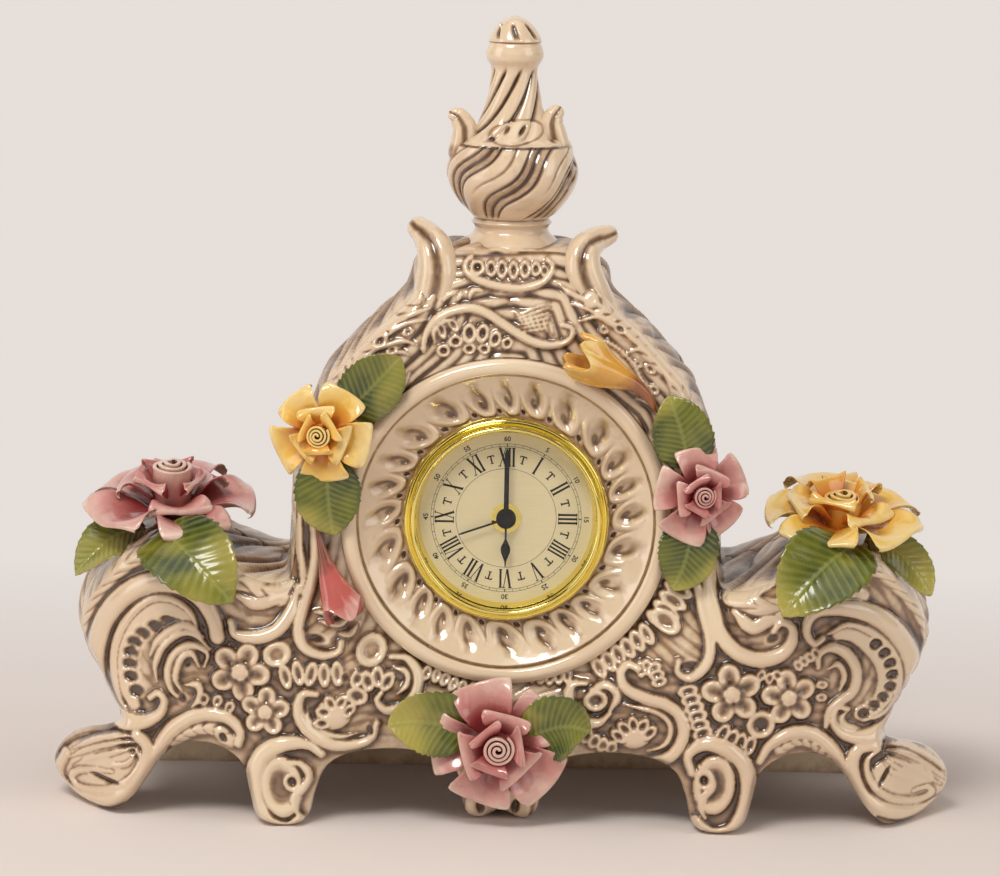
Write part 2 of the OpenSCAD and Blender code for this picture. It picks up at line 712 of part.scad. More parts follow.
module leaves_on(r, shares) {
    difference() {
        rose_leaves_solid(r, shares);
        heart_room(r, heart_sink);
        rose_petals_solid(r);
    }
}
module wing_left_leaves() {
    color(leaf_green) cut_to_case() at_wing_left() leaves_on(wing_left_rose_r, wing_leaf_shares);
}
module wing_right_leaves() {
    color(leaf_green) cut_to_case() at_wing_right() leaves_on(wing_right_rose_r, wing_right_leaf_shares);
}
module tower_left_leaves() {
    color(leaf_green) cut_to_case() at_tower_left() leaves_on(tower_left_rose_r, tower_left_leaf_shares);
}
module tower_right_leaves() {
    color(leaf_green) cut_to_case() at_tower_right() leaves_on(tower_right_rose_r, tower_right_leaf_shares);
}
module bottom_leaves() {
    color(leaf_green) cut_to_case() at_bottom() leaves_on(bottom_rose_r, bottom_leaf_shares);
}

// A bud with its stem, laid on the front: points as shares of the tower's half width and of the
// dial's height, with the radius as a share of the bud's
bud_r = 5;
orange_bud_shares = [[0.3, 1.57, 0.7], [0.37, 1.54, 1], [0.46, 1.49, 1], [0.55, 1.44, 0.6], [0.7, 1.35, 0.4]];
red_bud_shares = [[-0.88, 1.0, 0.3], [-0.84, 0.88, 0.45], [-0.8, 0.76, 0.9], [-0.77, 0.68, 1], [-0.74, 0.63, 0.6]];
module bud(shares) {
    cut_to_case()
        tube([for (s = shares) [s[0] * tower_half, -tower_front - bud_r * 0.3, s[1] * dial_z]],
            [for (s = shares) s[2] * bud_r]);
}
module orange_bud() {
    color(rose_yellow) bud(orange_bud_shares);
}
module red_bud() {
    color(rose_pink) bud(red_bud_shares);
}

// Radii of the insert's pieces
view_r = bezel_od / 2 - bezel_w;
lens_r = view_r + bezel_w * 0.16;
rebate_r = lens_r + run_fit;
inner_r = can_r - can_wall - run_fit;
bush_r = 3.9;
alarm_pipe_r = 3.05;
hour_pipe_r = 2.3;
arbor_r = 1.5;
arbor_tip_r = 0.9;
nut_r = 5.4;
washer_r = 6.2;
hub_r = 4.1;
cap_r = 2.9;
press_gap = 0.01;

// Depths of the insert's pieces, counted from the seat of the flange
crest_y = seat_y - bezel_h;
lens_edge_y = seat_y - bezel_h * 0.68;
dome_h = bezel_h * 0.2;
dome_r = (lens_r * lens_r + dome_h * dome_h) / (2 * dome_h);
lens_back_y = lens_edge_y + lens_t * 1.02;
dial_drop = 1.2;
nut_h = 1.3;
washer_t = 0.4;
hand_gap = 0.4;
cap_h = 0.8;
dial_y = seat_y + dial_drop;
can_floor_y = dial_y + dial_t;
move_y = can_floor_y + can_wall;
works_y = move_y + move_wall;
cover_y = move_y + move_depth - move_wall;
bush_front_y = dial_y - washer_t - nut_h - hand_gap / 2;
alarm_hand_y = bush_front_y - hand_gap;
hour_hand_y = alarm_hand_y - hand_t - hand_gap;
minute_hand_y = hour_hand_y - hand_t - hand_gap;

// A flat shape at a depth, thickened to the front, on the dial's axis
module flat_at(y, t) {
    translate([0, y, dial_z]) rotate([90, 0, 0]) linear_extrude(t) children();
}
// A profile turned about the dial's axis: radius and height above the seat of the flange
module turned() {
    translate([0, seat_y, dial_z]) rotate([90, 0, 0]) rotate_extrude($fn = fine) children();
}
// A round bar on the dial's own height, between two depths, at a place on the dial's plane
module rod(r, y0, y1, at = [0, 0]) {
    bar_y(r, y0, y1, at[0], dial_z + at[1], $fn = fine);
}

// The bezel: a rolled outer ring, a groove, and an inner ring whose lip holds the lens
module bezel() {
    roll_r = bezel_w * 0.32;
    color(brass)
        turned() {
            intersection() {
                translate([bezel_od / 2 - roll_r, roll_r]) circle(r = roll_r, $fn = soft);
                square([bezel_od, bezel_h]);
            }
            polygon([[rebate_r, 0], [bezel_od / 2 - roll_r, 0], [bezel_od / 2 - roll_r, roll_r],
                [view_r + bezel_w * 0.56, bezel_h * 0.36], [view_r + bezel_w * 0.48, bezel_h * 0.8],
                [view_r + bezel_w * 0.34, bezel_h], [view_r + bezel_w * 0.14, bezel_h],
                [view_r, bezel_h * 0.82], [view_r, bezel_h * 0.69], [rebate_r, bezel_h * 0.69]]);
        }
}

// The lens: a shallow dome behind the bezel's lip
module lens() {
    centre_h = seat_y - lens_edge_y + dome_h - dome_r;
    color([0.8, 0.9, 0.95, 0.35])
        turned()
            intersection() {
                difference() {
                    translate([0, centre_h]) circle(r = dome_r, $fn = fine);
                    translate([0, centre_h]) circle(r = dome_r - lens_t, $fn = fine);
                }
                translate([0, seat_y - lens_back_y - over]) square([lens_r, dome_h + lens_t + 2 * over]);
            }
}

// The ring between lens and dial, with a sloped inner face
module reflector_ring() {
    low = seat_y - dial_y;
    high = seat_y - lens_back_y;
    color(brass)
        turned()
            polygon([[inner_r - can_wall, low], [inner_r, low], [inner_r, high],
                [inner_r - can_wall * 0.3, high]]);
}

// The printed dial disc with its hole for the bush
module dial() {
    color([0.93, 0.87, 0.72])
        difference() {
            rod(inner_r, dial_y, can_floor_y);
            rod(bush_r + run_fit, dial_y - over, can_floor_y + over);
        }
}

// The can: a wall behind the bezel's flange, and a floor that carries dial and movement
module insert_can() {
    color(plastic)
        difference() {
            rod(can_r, seat_y, seat_y + can_len);
            rod(can_r - can_wall, seat_y - over, can_floor_y);
            rod(can_r - can_wall, move_y, seat_y + can_len + over);
            rod(bush_r + run_fit, seat_y - over, seat_y + can_len);
        }
}

// The elastic ring that grips the hole of the case
module grip_ring() {
    color(black)
        turned()
            translate([can_r, -can_len * 0.45])
                square([can_clearance - run_fit, can_len * 0.3]);
}

module nut_washer() {
    color(brass)
        difference() {
            rod(washer_r, dial_y - washer_t, dial_y);
            rod(bush_r + run_fit, dial_y - over, dial_y + over);
        }
}
module centre_nut() {
    color(brass)
        difference() {
            bar_y(nut_r, dial_y - washer_t - nut_h, dial_y - washer_t, 0, dial_z, $fn = 6);
            rod(bush_r + run_fit, dial_y - washer_t - nut_h - over, dial_y);
        }
}

// A straight hand that points up: length and width at its foot and at its tip
module hand_shape(len, foot_w, tip_w) {
    polygon([[-foot_w / 2, 0], [foot_w / 2, 0], [foot_w / 2, len * 0.92], [tip_w / 2, len],
        [-tip_w / 2, len], [-foot_w / 2, len * 0.92]]);
}
// A hand with its hub, thickened and pierced for what it is pressed on
module hand_on(y, turn, hub, hole) {
    color(black)
        difference() {
            flat_at(y, hand_t) rotate(turn) {
                circle(r = hub, $fn = fine);
                children();
            }
            rod(hole + press_gap, y - hand_t - over, y + over);
        }
}
minute_w = 2;
alarm_w = 0.8;
tip_w = 0.5;
alarm_turn = 109.5;
module minute_hand() {
    hand_on(minute_hand_y, 0, cap_r, arbor_tip_r) hand_shape(minute_len, minute_w, tip_w);
}
// Half width of the hour hand along its length, both as shares: a thin stem, a spade and a tip
spade_shares = [[0, 0.2], [0.42, 0.2], [0.5, 0.55], [0.58, 0.95], [0.64, 1], [0.7, 0.9], [0.8, 0.5],
    [0.88, 0.2], [1, 0.1]];
spade_half = 2;
module hour_hand() {
    hand_on(hour_hand_y, 180, hub_r * 0.9, hour_pipe_r)
        polygon(concat([for (s = spade_shares) [s[1] * spade_half, s[0] * hour_len]],
            [for (i = [len(spade_shares) - 1:-1:0])
                [-spade_shares[i][1] * spade_half, spade_shares[i][0] * hour_len]]));
}
module alarm_hand() {
    hand_on(alarm_hand_y, alarm_turn, hub_r, alarm_pipe_r) hand_shape(alarm_len, alarm_w, tip_w);
}
module hand_cap() {
    color(steel)
        rod(cap_r * 0.8, minute_hand_y - hand_t - cap_h, minute_hand_y - hand_t);
}

// A gear outline: teeth with straight flanks about the pitch circle
addendum_share = 0.75;
dedendum_share = 1.05;
function gear_points(teeth, m) =
    [for (k = [0:teeth - 1], s = [[-0.27, -1], [-0.11, 1], [0.11, 1], [0.27, -1]])
        let (a = 360 * (k + s[0]) / teeth,
            r = m * (teeth / 2 + (s[1] > 0 ? addendum_share : -dedendum_share)))
        r * [cos(a), sin(a)]];
// Turn of a gear so that a gap faces a tooth of its neighbour: the neighbour's turn and teeth, its
// own teeth, and the direction from the neighbour to it
function meshed(turn, teeth_a, teeth_b, direction) =
    direction + half_turn + half_turn / teeth_b - (turn - direction) * teeth_a / teeth_b;
function step_to(p, distance, direction) = p + distance * [cos(direction), sin(direction)];
function spacing(m, a, b) = m * (a + b) / 2;
// A gear between two depths behind the works' front, at a place
module gear(teeth, m, d0, d1, at = [0, 0], turn = 0) {
    translate([at[0], works_y + d1, dial_z + at[1]]) rotate([90, 0, 0])
        linear_extrude(d1 - d0) rotate(turn) polygon(gear_points(teeth, m));
}
// A round bar between two depths behind the works' front
module shaft(r, d0, d1, at = [0, 0]) {
    rod(r, works_y + d0, works_y + d1, at);
}

// Half a turn, for a direction seen from the other end
half_turn = 180;

// Teeth of the hand gears, and their places
cannon_teeth = 12;
motion_teeth = 36;
motion_pinion_teeth = 10;
hour_teeth = 40;
alarm_teeth = 40;
alarm_pinion_teeth = 10;
knob_teeth = 12;
motion_dir = 150;
knob_dir = 120;
alarm_dir = 30;
hour_module = hand_module * (cannon_teeth + motion_teeth) / (motion_pinion_teeth + hour_teeth);
motion_at = step_to([0, 0], spacing(hand_module, cannon_teeth, motion_teeth), motion_dir);
time_knob_at = step_to(motion_at, spacing(hand_module, motion_teeth, knob_teeth), knob_dir);
alarm_knob_at = step_to([0, 0], spacing(hand_module, alarm_teeth, alarm_pinion_teeth), alarm_dir);
motion_turn = meshed(0, cannon_teeth, motion_teeth, motion_dir);
time_knob_turn = meshed(motion_turn, motion_teeth, knob_teeth, knob_dir);
hour_turn = meshed(motion_turn, motion_pinion_teeth, hour_teeth, motion_dir + half_turn);
alarm_knob_turn = meshed(0, alarm_teeth, alarm_pinion_teeth, alarm_dir);

// Teeth of the going train, from the rotor to the wheel on the minute arbor, and their places
pinion_teeth = 8;
centre_teeth = 64;
third_teeth = 60;
seconds_teeth = 48;
intermediate_teeth = 40;
third_dir = 100;
seconds_dir = 40;
intermediate_dir = 60;
rotor_dir = 20;
third_at = step_to([0, 0], spacing(train_module, centre_teeth, pinion_teeth), third_dir);
seconds_at = step_to(third_at, spacing(train_module, third_teeth, pinion_teeth), seconds_dir);
intermediate_at = step_to(seconds_at, spacing(train_module, seconds_teeth, pinion_teeth), intermediate_dir);
rotor_at = step_to(intermediate_at, spacing(train_module, intermediate_teeth, pinion_teeth), rotor_dir);
third_turn = meshed(0, centre_teeth, pinion_teeth, third_dir);
seconds_turn = meshed(third_turn, third_teeth, pinion_teeth, seconds_dir);
intermediate_turn = meshed(seconds_turn, seconds_teeth, pinion_teeth, intermediate_dir);
rotor_turn = meshed(intermediate_turn, intermediate_teeth, pinion_teeth, rotor_dir);

// Depths of the wheels behind the works' front, each with its thickness
wheel_t = 0.9;
thin_t = 0.4;
wheel_gap = 0.3;
alarm_d = wheel_gap;
hour_d = alarm_d + wheel_t + wheel_gap;
cannon_d = hour_d + wheel_t + 2 * wheel_gap;
plate_d = cannon_d + wheel_t + 2 * wheel_gap;
plate_t = 0.8;
centre_d = plate_d + plate_t + wheel_gap;
stage = 2.5 * thin_t;
third_d = centre_d + stage;
seconds_d = third_d + stage;
intermediate_d = seconds_d + stage;
pinion_extra = 0.15;
rotor_d = intermediate_d - 3 * stage;
train_arbor_r = 0.4;
post_r = 0.9;
knob_shaft_r = 1.2;
pivot_len = 0.7;
works_depth = cover_y - works_y;

module minute_arbor() {
    color(brass) {
        rod(arbor_tip_r, minute_hand_y - hand_t, minute_hand_y);
        rod(arbor_r, minute_hand_y, works_y + centre_d + thin_t + wheel_gap);
        gear(cannon_teeth, hand_module, cannon_d, cannon_d + wheel_t);
    }
}
module hour_wheel() {
    color([0.9, 0.9, 0.88])
        difference() {
            union() {
                gear(hour_teeth, hour_module, hour_d, hour_d + wheel_t, [0, 0], hour_turn);
                rod(hour_pipe_r, hour_hand_y - hand_t, works_y + hour_d + wheel_t);
            }
            rod(arbor_r + run_fit, hour_hand_y - over, works_y + cannon_d);
        }
}
module alarm_wheel() {
    color([0.9, 0.9, 0.88])
        difference() {
            union() {
                gear(alarm_teeth, hand_module, alarm_d, alarm_d + wheel_t);
                rod(alarm_pipe_r, alarm_hand_y - hand_t, works_y + alarm_d + wheel_t);
            }
            rod(hour_pipe_r + run_fit, alarm_hand_y - over, works_y + hour_d);
        }
}
module motion_wheel() {
    color([0.9, 0.9, 0.88])
        difference() {
            union() {
                gear(motion_teeth, hand_module, cannon_d, cannon_d + wheel_t, motion_at, motion_turn);
                gear(motion_pinion_teeth, hour_module, hour_d, cannon_d, motion_at, motion_turn);
            }
            shaft(post_r + run_fit, 0, plate_d, motion_at);
        }
}

// A setting knob: a pinion in the works, a shaft and a ribbed button behind the cover
module setting_knob(at, teeth, turn, d, r, h) {
    back = works_depth + move_wall + wheel_gap;
    gear(teeth, hand_module, d, d + wheel_t, at, turn);
    shaft(knob_shaft_r, d - wheel_gap / 2, back, at);
    translate([at[0], works_y + back + h, dial_z + at[1]]) rotate([90, 0, 0])
        linear_extrude(h)
            polygon([for (k = [0:47]) (r - (k % 2) * r * 0.07) * [cos(7.5 * k), sin(7.5 * k)]]);
}
time_knob_r = 6.5;
alarm_knob_r = 4.2;
knob_h = 3.5;
module time_knob() {
    color(plastic) setting_knob(time_knob_at, knob_teeth, time_knob_turn, cannon_d, time_knob_r, knob_h);
}
module alarm_knob() {
    color(plastic)
        setting_knob(alarm_knob_at, alarm_pinion_teeth, alarm_knob_turn, alarm_d, alarm_knob_r, knob_h);
}

// A wheel of the train with its pinion one stage behind, on an arbor between plate and cover
module train_wheel(teeth, d, at, turn) {
    color([0.9, 0.9, 0.88]) {
        gear(teeth, train_module, d, d + thin_t, at, turn);
        gear(pinion_teeth, train_module, d - stage - pinion_extra, d, at, turn);
        shaft(train_arbor_r, plate_d, works_depth - pivot_len, at);
    }
}
module third_wheel() { train_wheel(third_teeth, third_d, third_at, third_turn); }
module seconds_wheel() { train_wheel(seconds_teeth, seconds_d, seconds_at, seconds_turn); }
module intermediate_wheel() {
    train_wheel(intermediate_teeth, intermediate_d, intermediate_at, intermediate_turn);
}
module centre_wheel() {
    color([0.9, 0.9, 0.88])
        difference() {
            gear(centre_teeth, train_module, centre_d, centre_d + thin_t);
            shaft(arbor_r + run_fit, centre_d - over, centre_d + over);
        }
}
magnet_r = 2.8;
magnet_h = 2.2;
module rotor() {
    color(steel) {
        shaft(magnet_r, rotor_d, rotor_d + magnet_h, rotor_at);
        gear(pinion_teeth, train_module, intermediate_d - pinion_extra,
            intermediate_d + thin_t + pinion_extra, rotor_at, rotor_turn);
        shaft(train_arbor_r, plate_d, works_depth - pivot_len, rotor_at);
    }
}

// The stator plate, with a ring round the rotor and two legs to the ends of the coil
coil_r = 3;
coil_x = move_side / 2 - move_wall - coil_r - wheel_gap;
coil_low_share = 0.116;
coil_high_share = 0.33;
coil_low = coil_low_share * move_side;
coil_high = coil_high_share * move_side;
stator_t = 0.8;
stator_d = rotor_d + magnet_h / 2 - stator_t / 2;
stator_w = 2.4;
stator_gap = 0.5;
stator_ring_w = 0.9;
module stator() {
    color(steel)
        translate([0, works_y + stator_d + stator_t, dial_z]) rotate([90, 0, 0])
            linear_extrude(stator_t)
                difference() {
                    union() {
                        translate(rotor_at) circle(r = magnet_r + stator_gap + stator_ring_w, $fn = fine);
                        translate([coil_x - stator_w / 2, coil_low - stator_w])
                            square([stator_w, coil_high - coil_low + 2 * stator_w]);
                        translate([rotor_at[0], coil_high]) square([coil_x - rotor_at[0], stator_w]);
                        translate([rotor_at[0] + magnet_r, coil_low - stator_w])
                            square([coil_x - rotor_at[0] - magnet_r, stator_w]);
                        translate([rotor_at[0] + magnet_r, coil_low - stator_w])
                            square([stator_w / 2, rotor_at[1] - coil_low]);
                    }
                    translate(rotor_at) circle(r = magnet_r + stator_gap, $fn = fine);
                }
}
module coil() {
    color([0.72, 0.35, 0.15])
        translate([coil_x, works_y + stator_d + stator_t / 2, dial_z + coil_low])
            difference() {
                cylinder(r = coil_r, h = coil_high - coil_low, $fn = fine);
                translate([-stator_w / 2 - run_fit, -stator_t / 2 - run_fit, -over])
                    cube([stator_w + 2 * run_fit, stator_t + 2 * run_fit, coil_high]);
            }
}

// The bay of the battery across the foot of the movement
bay_gap = 0.3;
bay_floor = 1.8;
bay_h = 2 * battery_r + 2 * bay_gap + bay_floor;
bay_top = -move_side / 2 + move_wall + bay_h;
bay_half = move_side / 2 - move_wall;
battery_z = bay_top - bay_gap - battery_r;
move_corner_r = 7;
boss_r = 2;
screw_r = 0.9;
screw_len = 4;
screw_hole_len = 5;
screw_at = move_side / 2 - 2.1 * boss_r;
screw_low = bay_top + 2 * boss_r;
screw_places = [[-screw_at, screw_at], [screw_at, screw_at], [-screw_at, screw_low], [screw_at, screw_low]];
// Posts of the plate and the board, and the board's corner and size, as shares of the movement's side
plate_post_shares = [[-0.214, 0.357], [0.25, 0.161], [-0.25, 0]];
board_post_shares = [[0.179, -0.089], [0.321, -0.089]];
board_corner_shares = [0.143, -0.143];
board_size_shares = [0.214, 0.107];
board_d = works_depth * 0.66;
board_t = 0.8;
board_at = board_corner_shares * move_side;
board_size = board_size_shares * move_side;
bay_wall_t = 1.2;

module move_outline(inset) {
    side = move_side - 2 * inset;
    r = move_corner_r - inset;
    soft_frame(side, r);
}
// A square with round corners about the dial's axis
module soft_frame(side, r) {
    for (turn = [0, 90])
        rotate(turn) square([side, side - 2 * r], center = true);
    for (x = [-1, 1], z = [-1, 1])
        translate([x * (side / 2 - r), z * (side / 2 - r)]) circle(r = r, $fn = fine);
}
module movement_case() {
    color([0.15, 0.15, 0.16])
        difference() {
            union() {
                difference() {
                    flat_at(cover_y, cover_y - move_y) move_outline(0);
                    flat_at(cover_y + over, works_depth + over) move_outline(move_wall);
                }
                flat_at(cover_y, works_depth)
                    translate([-bay_half, bay_top]) square([2 * bay_half, bay_wall_t]);
                rod(bush_r, bush_front_y, move_y);
                shaft(post_r, 0, plate_d, motion_at);
                for (p = plate_post_shares) shaft(post_r, 0, plate_d, p * move_side);
                for (p = board_post_shares) shaft(post_r, 0, board_d, p * move_side);
                for (p = screw_places) shaft(boss_r, 0, works_depth, p);
            }
            rod(alarm_pipe_r + run_fit, bush_front_y - over, works_y + over);
            for (p = screw_places) shaft(screw_r + run_fit, works_depth - screw_hole_len, works_depth + over, p);
        }
}
// The plate that parts the hand gears from the train: its edges as shares of the movement's side
plate_left_share = -0.32;
plate_low_share = -0.045;
plate_high_share = 0.42;
module middle_plate() {
    color(plastic)
        difference() {
            flat_at(works_y + plate_d + plate_t, plate_t)
                translate([plate_left_share * move_side, plate_low_share * move_side])
                    square([coil_x - coil_r - over - plate_left_share * move_side,
                        (plate_high_share - plate_low_share) * move_side]);
            shaft(arbor_r + run_fit, plate_d - over, plate_d + plate_t + over);
            shaft(knob_shaft_r + run_fit, plate_d - over, plate_d + plate_t + over, time_knob_at);
            shaft(knob_shaft_r + run_fit, plate_d - over, plate_d + plate_t + over, alarm_knob_at);
            for (p = [third_at, seconds_at, intermediate_at, rotor_at])
                shaft(train_arbor_r + run_fit, plate_d - over, plate_d + plate_t + over, p);
        }
}
// The cover behind the works, with bosses for the arbors; the battery's bay stays open
switch_shares = [-0.339, 0.357];
switch_at = switch_shares * move_side;
switch_slot = [7, 2.4];
module movement_cover() {
    color([0.15, 0.15, 0.16])
        difference() {
            union() {
                flat_at(cover_y + move_wall, move_wall)
                    intersection() {
                        move_outline(0);
                        translate([-move_side / 2, bay_top]) square([move_side, move_side]);
                    }
                for (p = [third_at, seconds_at, intermediate_at, rotor_at])
                    shaft(2.2 * train_arbor_r, works_depth - 1.6 * pivot_len, works_depth, p);
            }
            for (p = [third_at, seconds_at, intermediate_at, rotor_at])
                shaft(train_arbor_r + run_fit, works_depth - 2 * pivot_len, works_depth - pivot_len / 2, p);
            for (p = screw_places) shaft(screw_r + run_fit, works_depth - over, works_depth + 2 * move_wall, p);
            shaft(knob_shaft_r + run_fit, works_depth - over, works_depth + 2 * move_wall, time_knob_at);
            shaft(knob_shaft_r + run_fit, works_depth - over, works_depth + 2 * move_wall, alarm_knob_at);
            flat_at(cover_y + 2 * move_wall, 3 * move_wall)
                translate(switch_at - switch_slot / 2) square(switch_slot);
        }
}
module cover_screws() {
    color(steel)
        for (p = screw_places) {
            shaft(screw_r, works_depth - screw_len, works_depth + move_wall, p);
            shaft(1.7 * screw_r, works_depth + move_wall, works_depth + move_wall + screw_r, p);
        }
}
switch_travel = 1.5;
switch_head_t = 1.2;
switch_play = 0.3;
switch_lip = 0.8;
module alarm_switch() {
    stem = [switch_slot[0] - 2 * switch_travel - switch_play, switch_slot[1] - switch_play];
    head = [switch_slot[0], switch_slot[1] + 2 * switch_lip];
    color([0.85, 0.85, 0.85]) {
        flat_at(cover_y + move_wall + wheel_gap, move_wall + 2 * wheel_gap)
            translate(switch_at - stem / 2) square(stem);
        flat_at(cover_y + move_wall + run_fit + switch_head_t, switch_head_t)
            translate(switch_at - head / 2) square(head);
    }
}
module circuit_board() {
    color([0.1, 0.35, 0.2])
        flat_at(works_y + board_d + board_t, board_t) translate(board_at) square(board_size);
}
crystal_r = 1;
crystal_len = 6;
module quartz_crystal() {
    color(steel)
        translate([board_at[0] + board_size[0] / 4, works_y + board_d + board_t + crystal_r,
            dial_z + board_at[1] + board_size[1] / 3])
            rotate([0, 90, 0]) cylinder(r = crystal_r, h = crystal_len, $fn = fine);
}
buzzer_r = 6.5;
buzzer_t = 1.4;
buzzer_shares = [-0.3125, 0.027];
buzzer_at = buzzer_shares * move_side;
module buzzer() {
    color(brass) shaft(buzzer_r, works_depth - buzzer_t, works_depth, buzzer_at);
}
nub_r = 2.7;
nub_len = 1;
contact_share = 0.5;
battery_y = works_y + battery_r + wheel_gap;
contact_t = 0.4;
contact_half = battery_r * contact_share;
module battery() {
    color([0.3, 0.32, 0.36])
        translate([-battery_len / 2 - nub_len / 2, battery_y, dial_z + battery_z])
            rotate([0, 90, 0]) {
                cylinder(r = battery_r, h = battery_len, $fn = fine);
                translate([0, 0, battery_len]) cylinder(r = nub_r, h = nub_len, $fn = fine);
            }
}
// A contact: a plate against the bay's end wall with a raised pad that meets the battery
module contact(side) {
    reach = bay_half - battery_len / 2 - nub_len / 2 - contact_t - run_fit;
    translate([0, battery_y, dial_z + battery_z])
        mirror([side > 0 ? 0 : 1, 0, 0])
            translate([bay_half - contact_t, 0, 0]) rotate([0, 90, 0]) {
                translate([-contact_half, -contact_half, 0])
                    cube([2 * contact_half, 2 * contact_half, contact_t]);
                translate([0, 0, -reach]) cylinder(r = nub_r, h = reach, $fn = fine);
            }
}
module contact_plus() { color(steel) contact(1); }
module contact_minus() { color(steel) contact(-1); }

front_tower();
front_left();
front_right();
case_back();
finial();
wing_left_heart();
wing_left_petals();
wing_left_leaves();
wing_right_heart();
wing_right_petals();
wing_right_leaves();
tower_left_heart();
tower_left_petals();
tower_left_leaves();
tower_right_heart();
tower_right_petals();
tower_right_leaves();
bottom_heart();
bottom_petals();
bottom_leaves();
orange_bud();
red_bud();
bezel();
lens();
dial();
reflector_ring();
insert_can();
grip_ring();
centre_nut();
nut_washer();
movement_case();
middle_plate();
movement_cover();
cover_screws();
minute_arbor();
minute_hand();
hand_cap();
motion_wheel();
hour_wheel();
hour_hand();
alarm_wheel();
alarm_hand();
time_knob();
alarm_knob();
alarm_switch();
rotor();
intermediate_wheel();
seconds_wheel();
third_wheel();
centre_wheel();
stator();
coil();
circuit_board();
quartz_crystal();
buzzer();
contact_plus();
contact_minus();
battery();
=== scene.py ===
"""Looks of the porcelain mantel clock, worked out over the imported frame."""

import math

import bpy
import numpy as np
from bpy.props import FloatProperty, FloatVectorProperty, PointerProperty
from mathutils import Matrix, Vector


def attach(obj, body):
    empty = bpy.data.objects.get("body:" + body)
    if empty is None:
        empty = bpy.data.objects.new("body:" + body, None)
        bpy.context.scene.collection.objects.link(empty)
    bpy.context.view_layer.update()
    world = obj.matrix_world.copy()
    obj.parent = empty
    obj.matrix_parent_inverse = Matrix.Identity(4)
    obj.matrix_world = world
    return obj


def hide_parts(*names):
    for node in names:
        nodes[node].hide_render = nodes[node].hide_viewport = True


bl_info = {
    "name": "Porcelain Mantel Clock",
    "version": (1, 0, 0),
    "blender": (4, 5, 0),
    "location": "3D View > Sidebar > Clock",
    "description": "Glazed relief, roses, brass and dial of a porcelain mantel clock",
    "category": "Object",
}

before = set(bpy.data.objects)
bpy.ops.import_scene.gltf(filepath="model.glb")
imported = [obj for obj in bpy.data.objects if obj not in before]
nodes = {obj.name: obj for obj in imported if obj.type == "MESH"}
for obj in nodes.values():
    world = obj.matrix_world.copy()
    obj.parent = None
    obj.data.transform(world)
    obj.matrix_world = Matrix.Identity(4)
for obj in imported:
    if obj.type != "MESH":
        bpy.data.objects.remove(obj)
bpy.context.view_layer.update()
MM = 0.001
PHOTO_SIZE = (1000, 876)
DIAL_PIXEL = (506, 521)
# Places and sizes of the case, in mm, as in the solids
DIAL_Z = 127.0
WING_HALF = 177.0
LEG_X = 90.0
FOOT_X = 164.0
WAIST = (158.5, 38.5)
SKIRT_HALF = 155.76
SEAM_Y = 20.0
BACK_LEAST = 24.0
ACCESS_RADIUS = 42.0
WALL = 5.0
# Half width, foot and top of the grids that are cut to an outline
GRID_HALF = 190.0
GRID_FOOT = -3.0
GRID_TOP = 243.0
# One pixel of the photograph at the dial, in mm
PIXEL = 0.4106


# Settings that a user would change

def measure(name, description, default, least, most, **kind):
    return FloatProperty(name=name, description=description, default=default, min=least,
                         max=most, **kind)


class ClockSizes(bpy.types.PropertyGroup):
    """Sizes of the dressed clock that the solids leave open."""

    relief: measure(
        "Relief height", "How far the scrolls stand out, as a factor of the drawn height",
        1.0, 0.3, 1.5, subtype="FACTOR")
    edge_round: measure(
        "Edge radius", "Radius with which the front turns into the sides",
        0.0055, 0.002, 0.01, unit="LENGTH")
    petal_thickness: measure(
        "Petal thickness", "Thickness of a porcelain petal at its base",
        0.0012, 0.0006, 0.002, unit="LENGTH")
    print_height: measure(
        "Print height", "How far the dial's print stands proud of the dial",
        0.00005, 0.00002, 0.0002, unit="LENGTH")
    camera_distance: measure(
        "Camera distance", "Distance from the camera to the dial", 1.6, 0.8, 4.0, unit="LENGTH")
    camera_elevation: measure(
        "Camera elevation", "Angle at which the camera looks down",
        math.radians(9.5), 0.0, 1.2, subtype="ANGLE")
    camera_roll: measure(
        "Camera roll", "Turn of the camera about its own axis",
        math.radians(1.1), -0.2, 0.2, subtype="ANGLE")
    pixel_pitch: measure(
        "Pixel pitch", "Width of one pixel of the photograph at the dial",
        0.0004106, 0.0002, 0.001, precision=7, unit="LENGTH")


def colour(name, description, default):
    return FloatVectorProperty(name=name, description=description, default=default, size=3,
                               min=0.0, max=1.0, subtype="COLOR")


class ClockColours(bpy.types.PropertyGroup):
    """Glazes and metals, as linear colours."""

    cream: colour("Cream glaze", "Glaze on raised parts of the case", (0.80, 0.64, 0.44))
    # The umber also colours painted shade along the back's edges, round its opening and beside the bezel.
    umber: colour("Umber wash", "Brown wash that lies in the recesses", (0.068, 0.034, 0.017))
    pink: colour("Pink glaze", "Middle of a pink petal", (0.56, 0.23, 0.20))
    pink_edge: colour("Pink petal edge", "Pale lip of a pink petal", (0.80, 0.60, 0.48))
    pink_throat: colour("Pink throat", "Deep colour at the foot of a pink petal", (0.34, 0.05, 0.05))
    yellow: colour("Yellow glaze", "Middle of a yellow petal", (0.82, 0.50, 0.08))
    yellow_edge: colour("Yellow petal edge", "Pale lip of a yellow petal", (0.86, 0.70, 0.34))
    yellow_throat: colour("Yellow throat", "Orange at the foot of a yellow petal", (0.74, 0.24, 0.03))
    leaf: colour("Leaf green", "Bright part of a leaf", (0.16, 0.168, 0.0099))
    leaf_dark: colour("Leaf shade", "Dark part of a leaf", (0.0294, 0.0462, 0.0055))
    brass: colour("Brass", "Polished brass of the bezel", (0.95, 0.80, 0.24))
    dial: colour("Dial", "Champagne ground of the dial", (0.90, 0.79, 0.50))
    floor: colour("Floor", "Paper that the clock stands on", (0.79, 0.71, 0.665))
    backdrop: colour("Backdrop", "Pale wall behind the clock", (0.79, 0.735, 0.70))


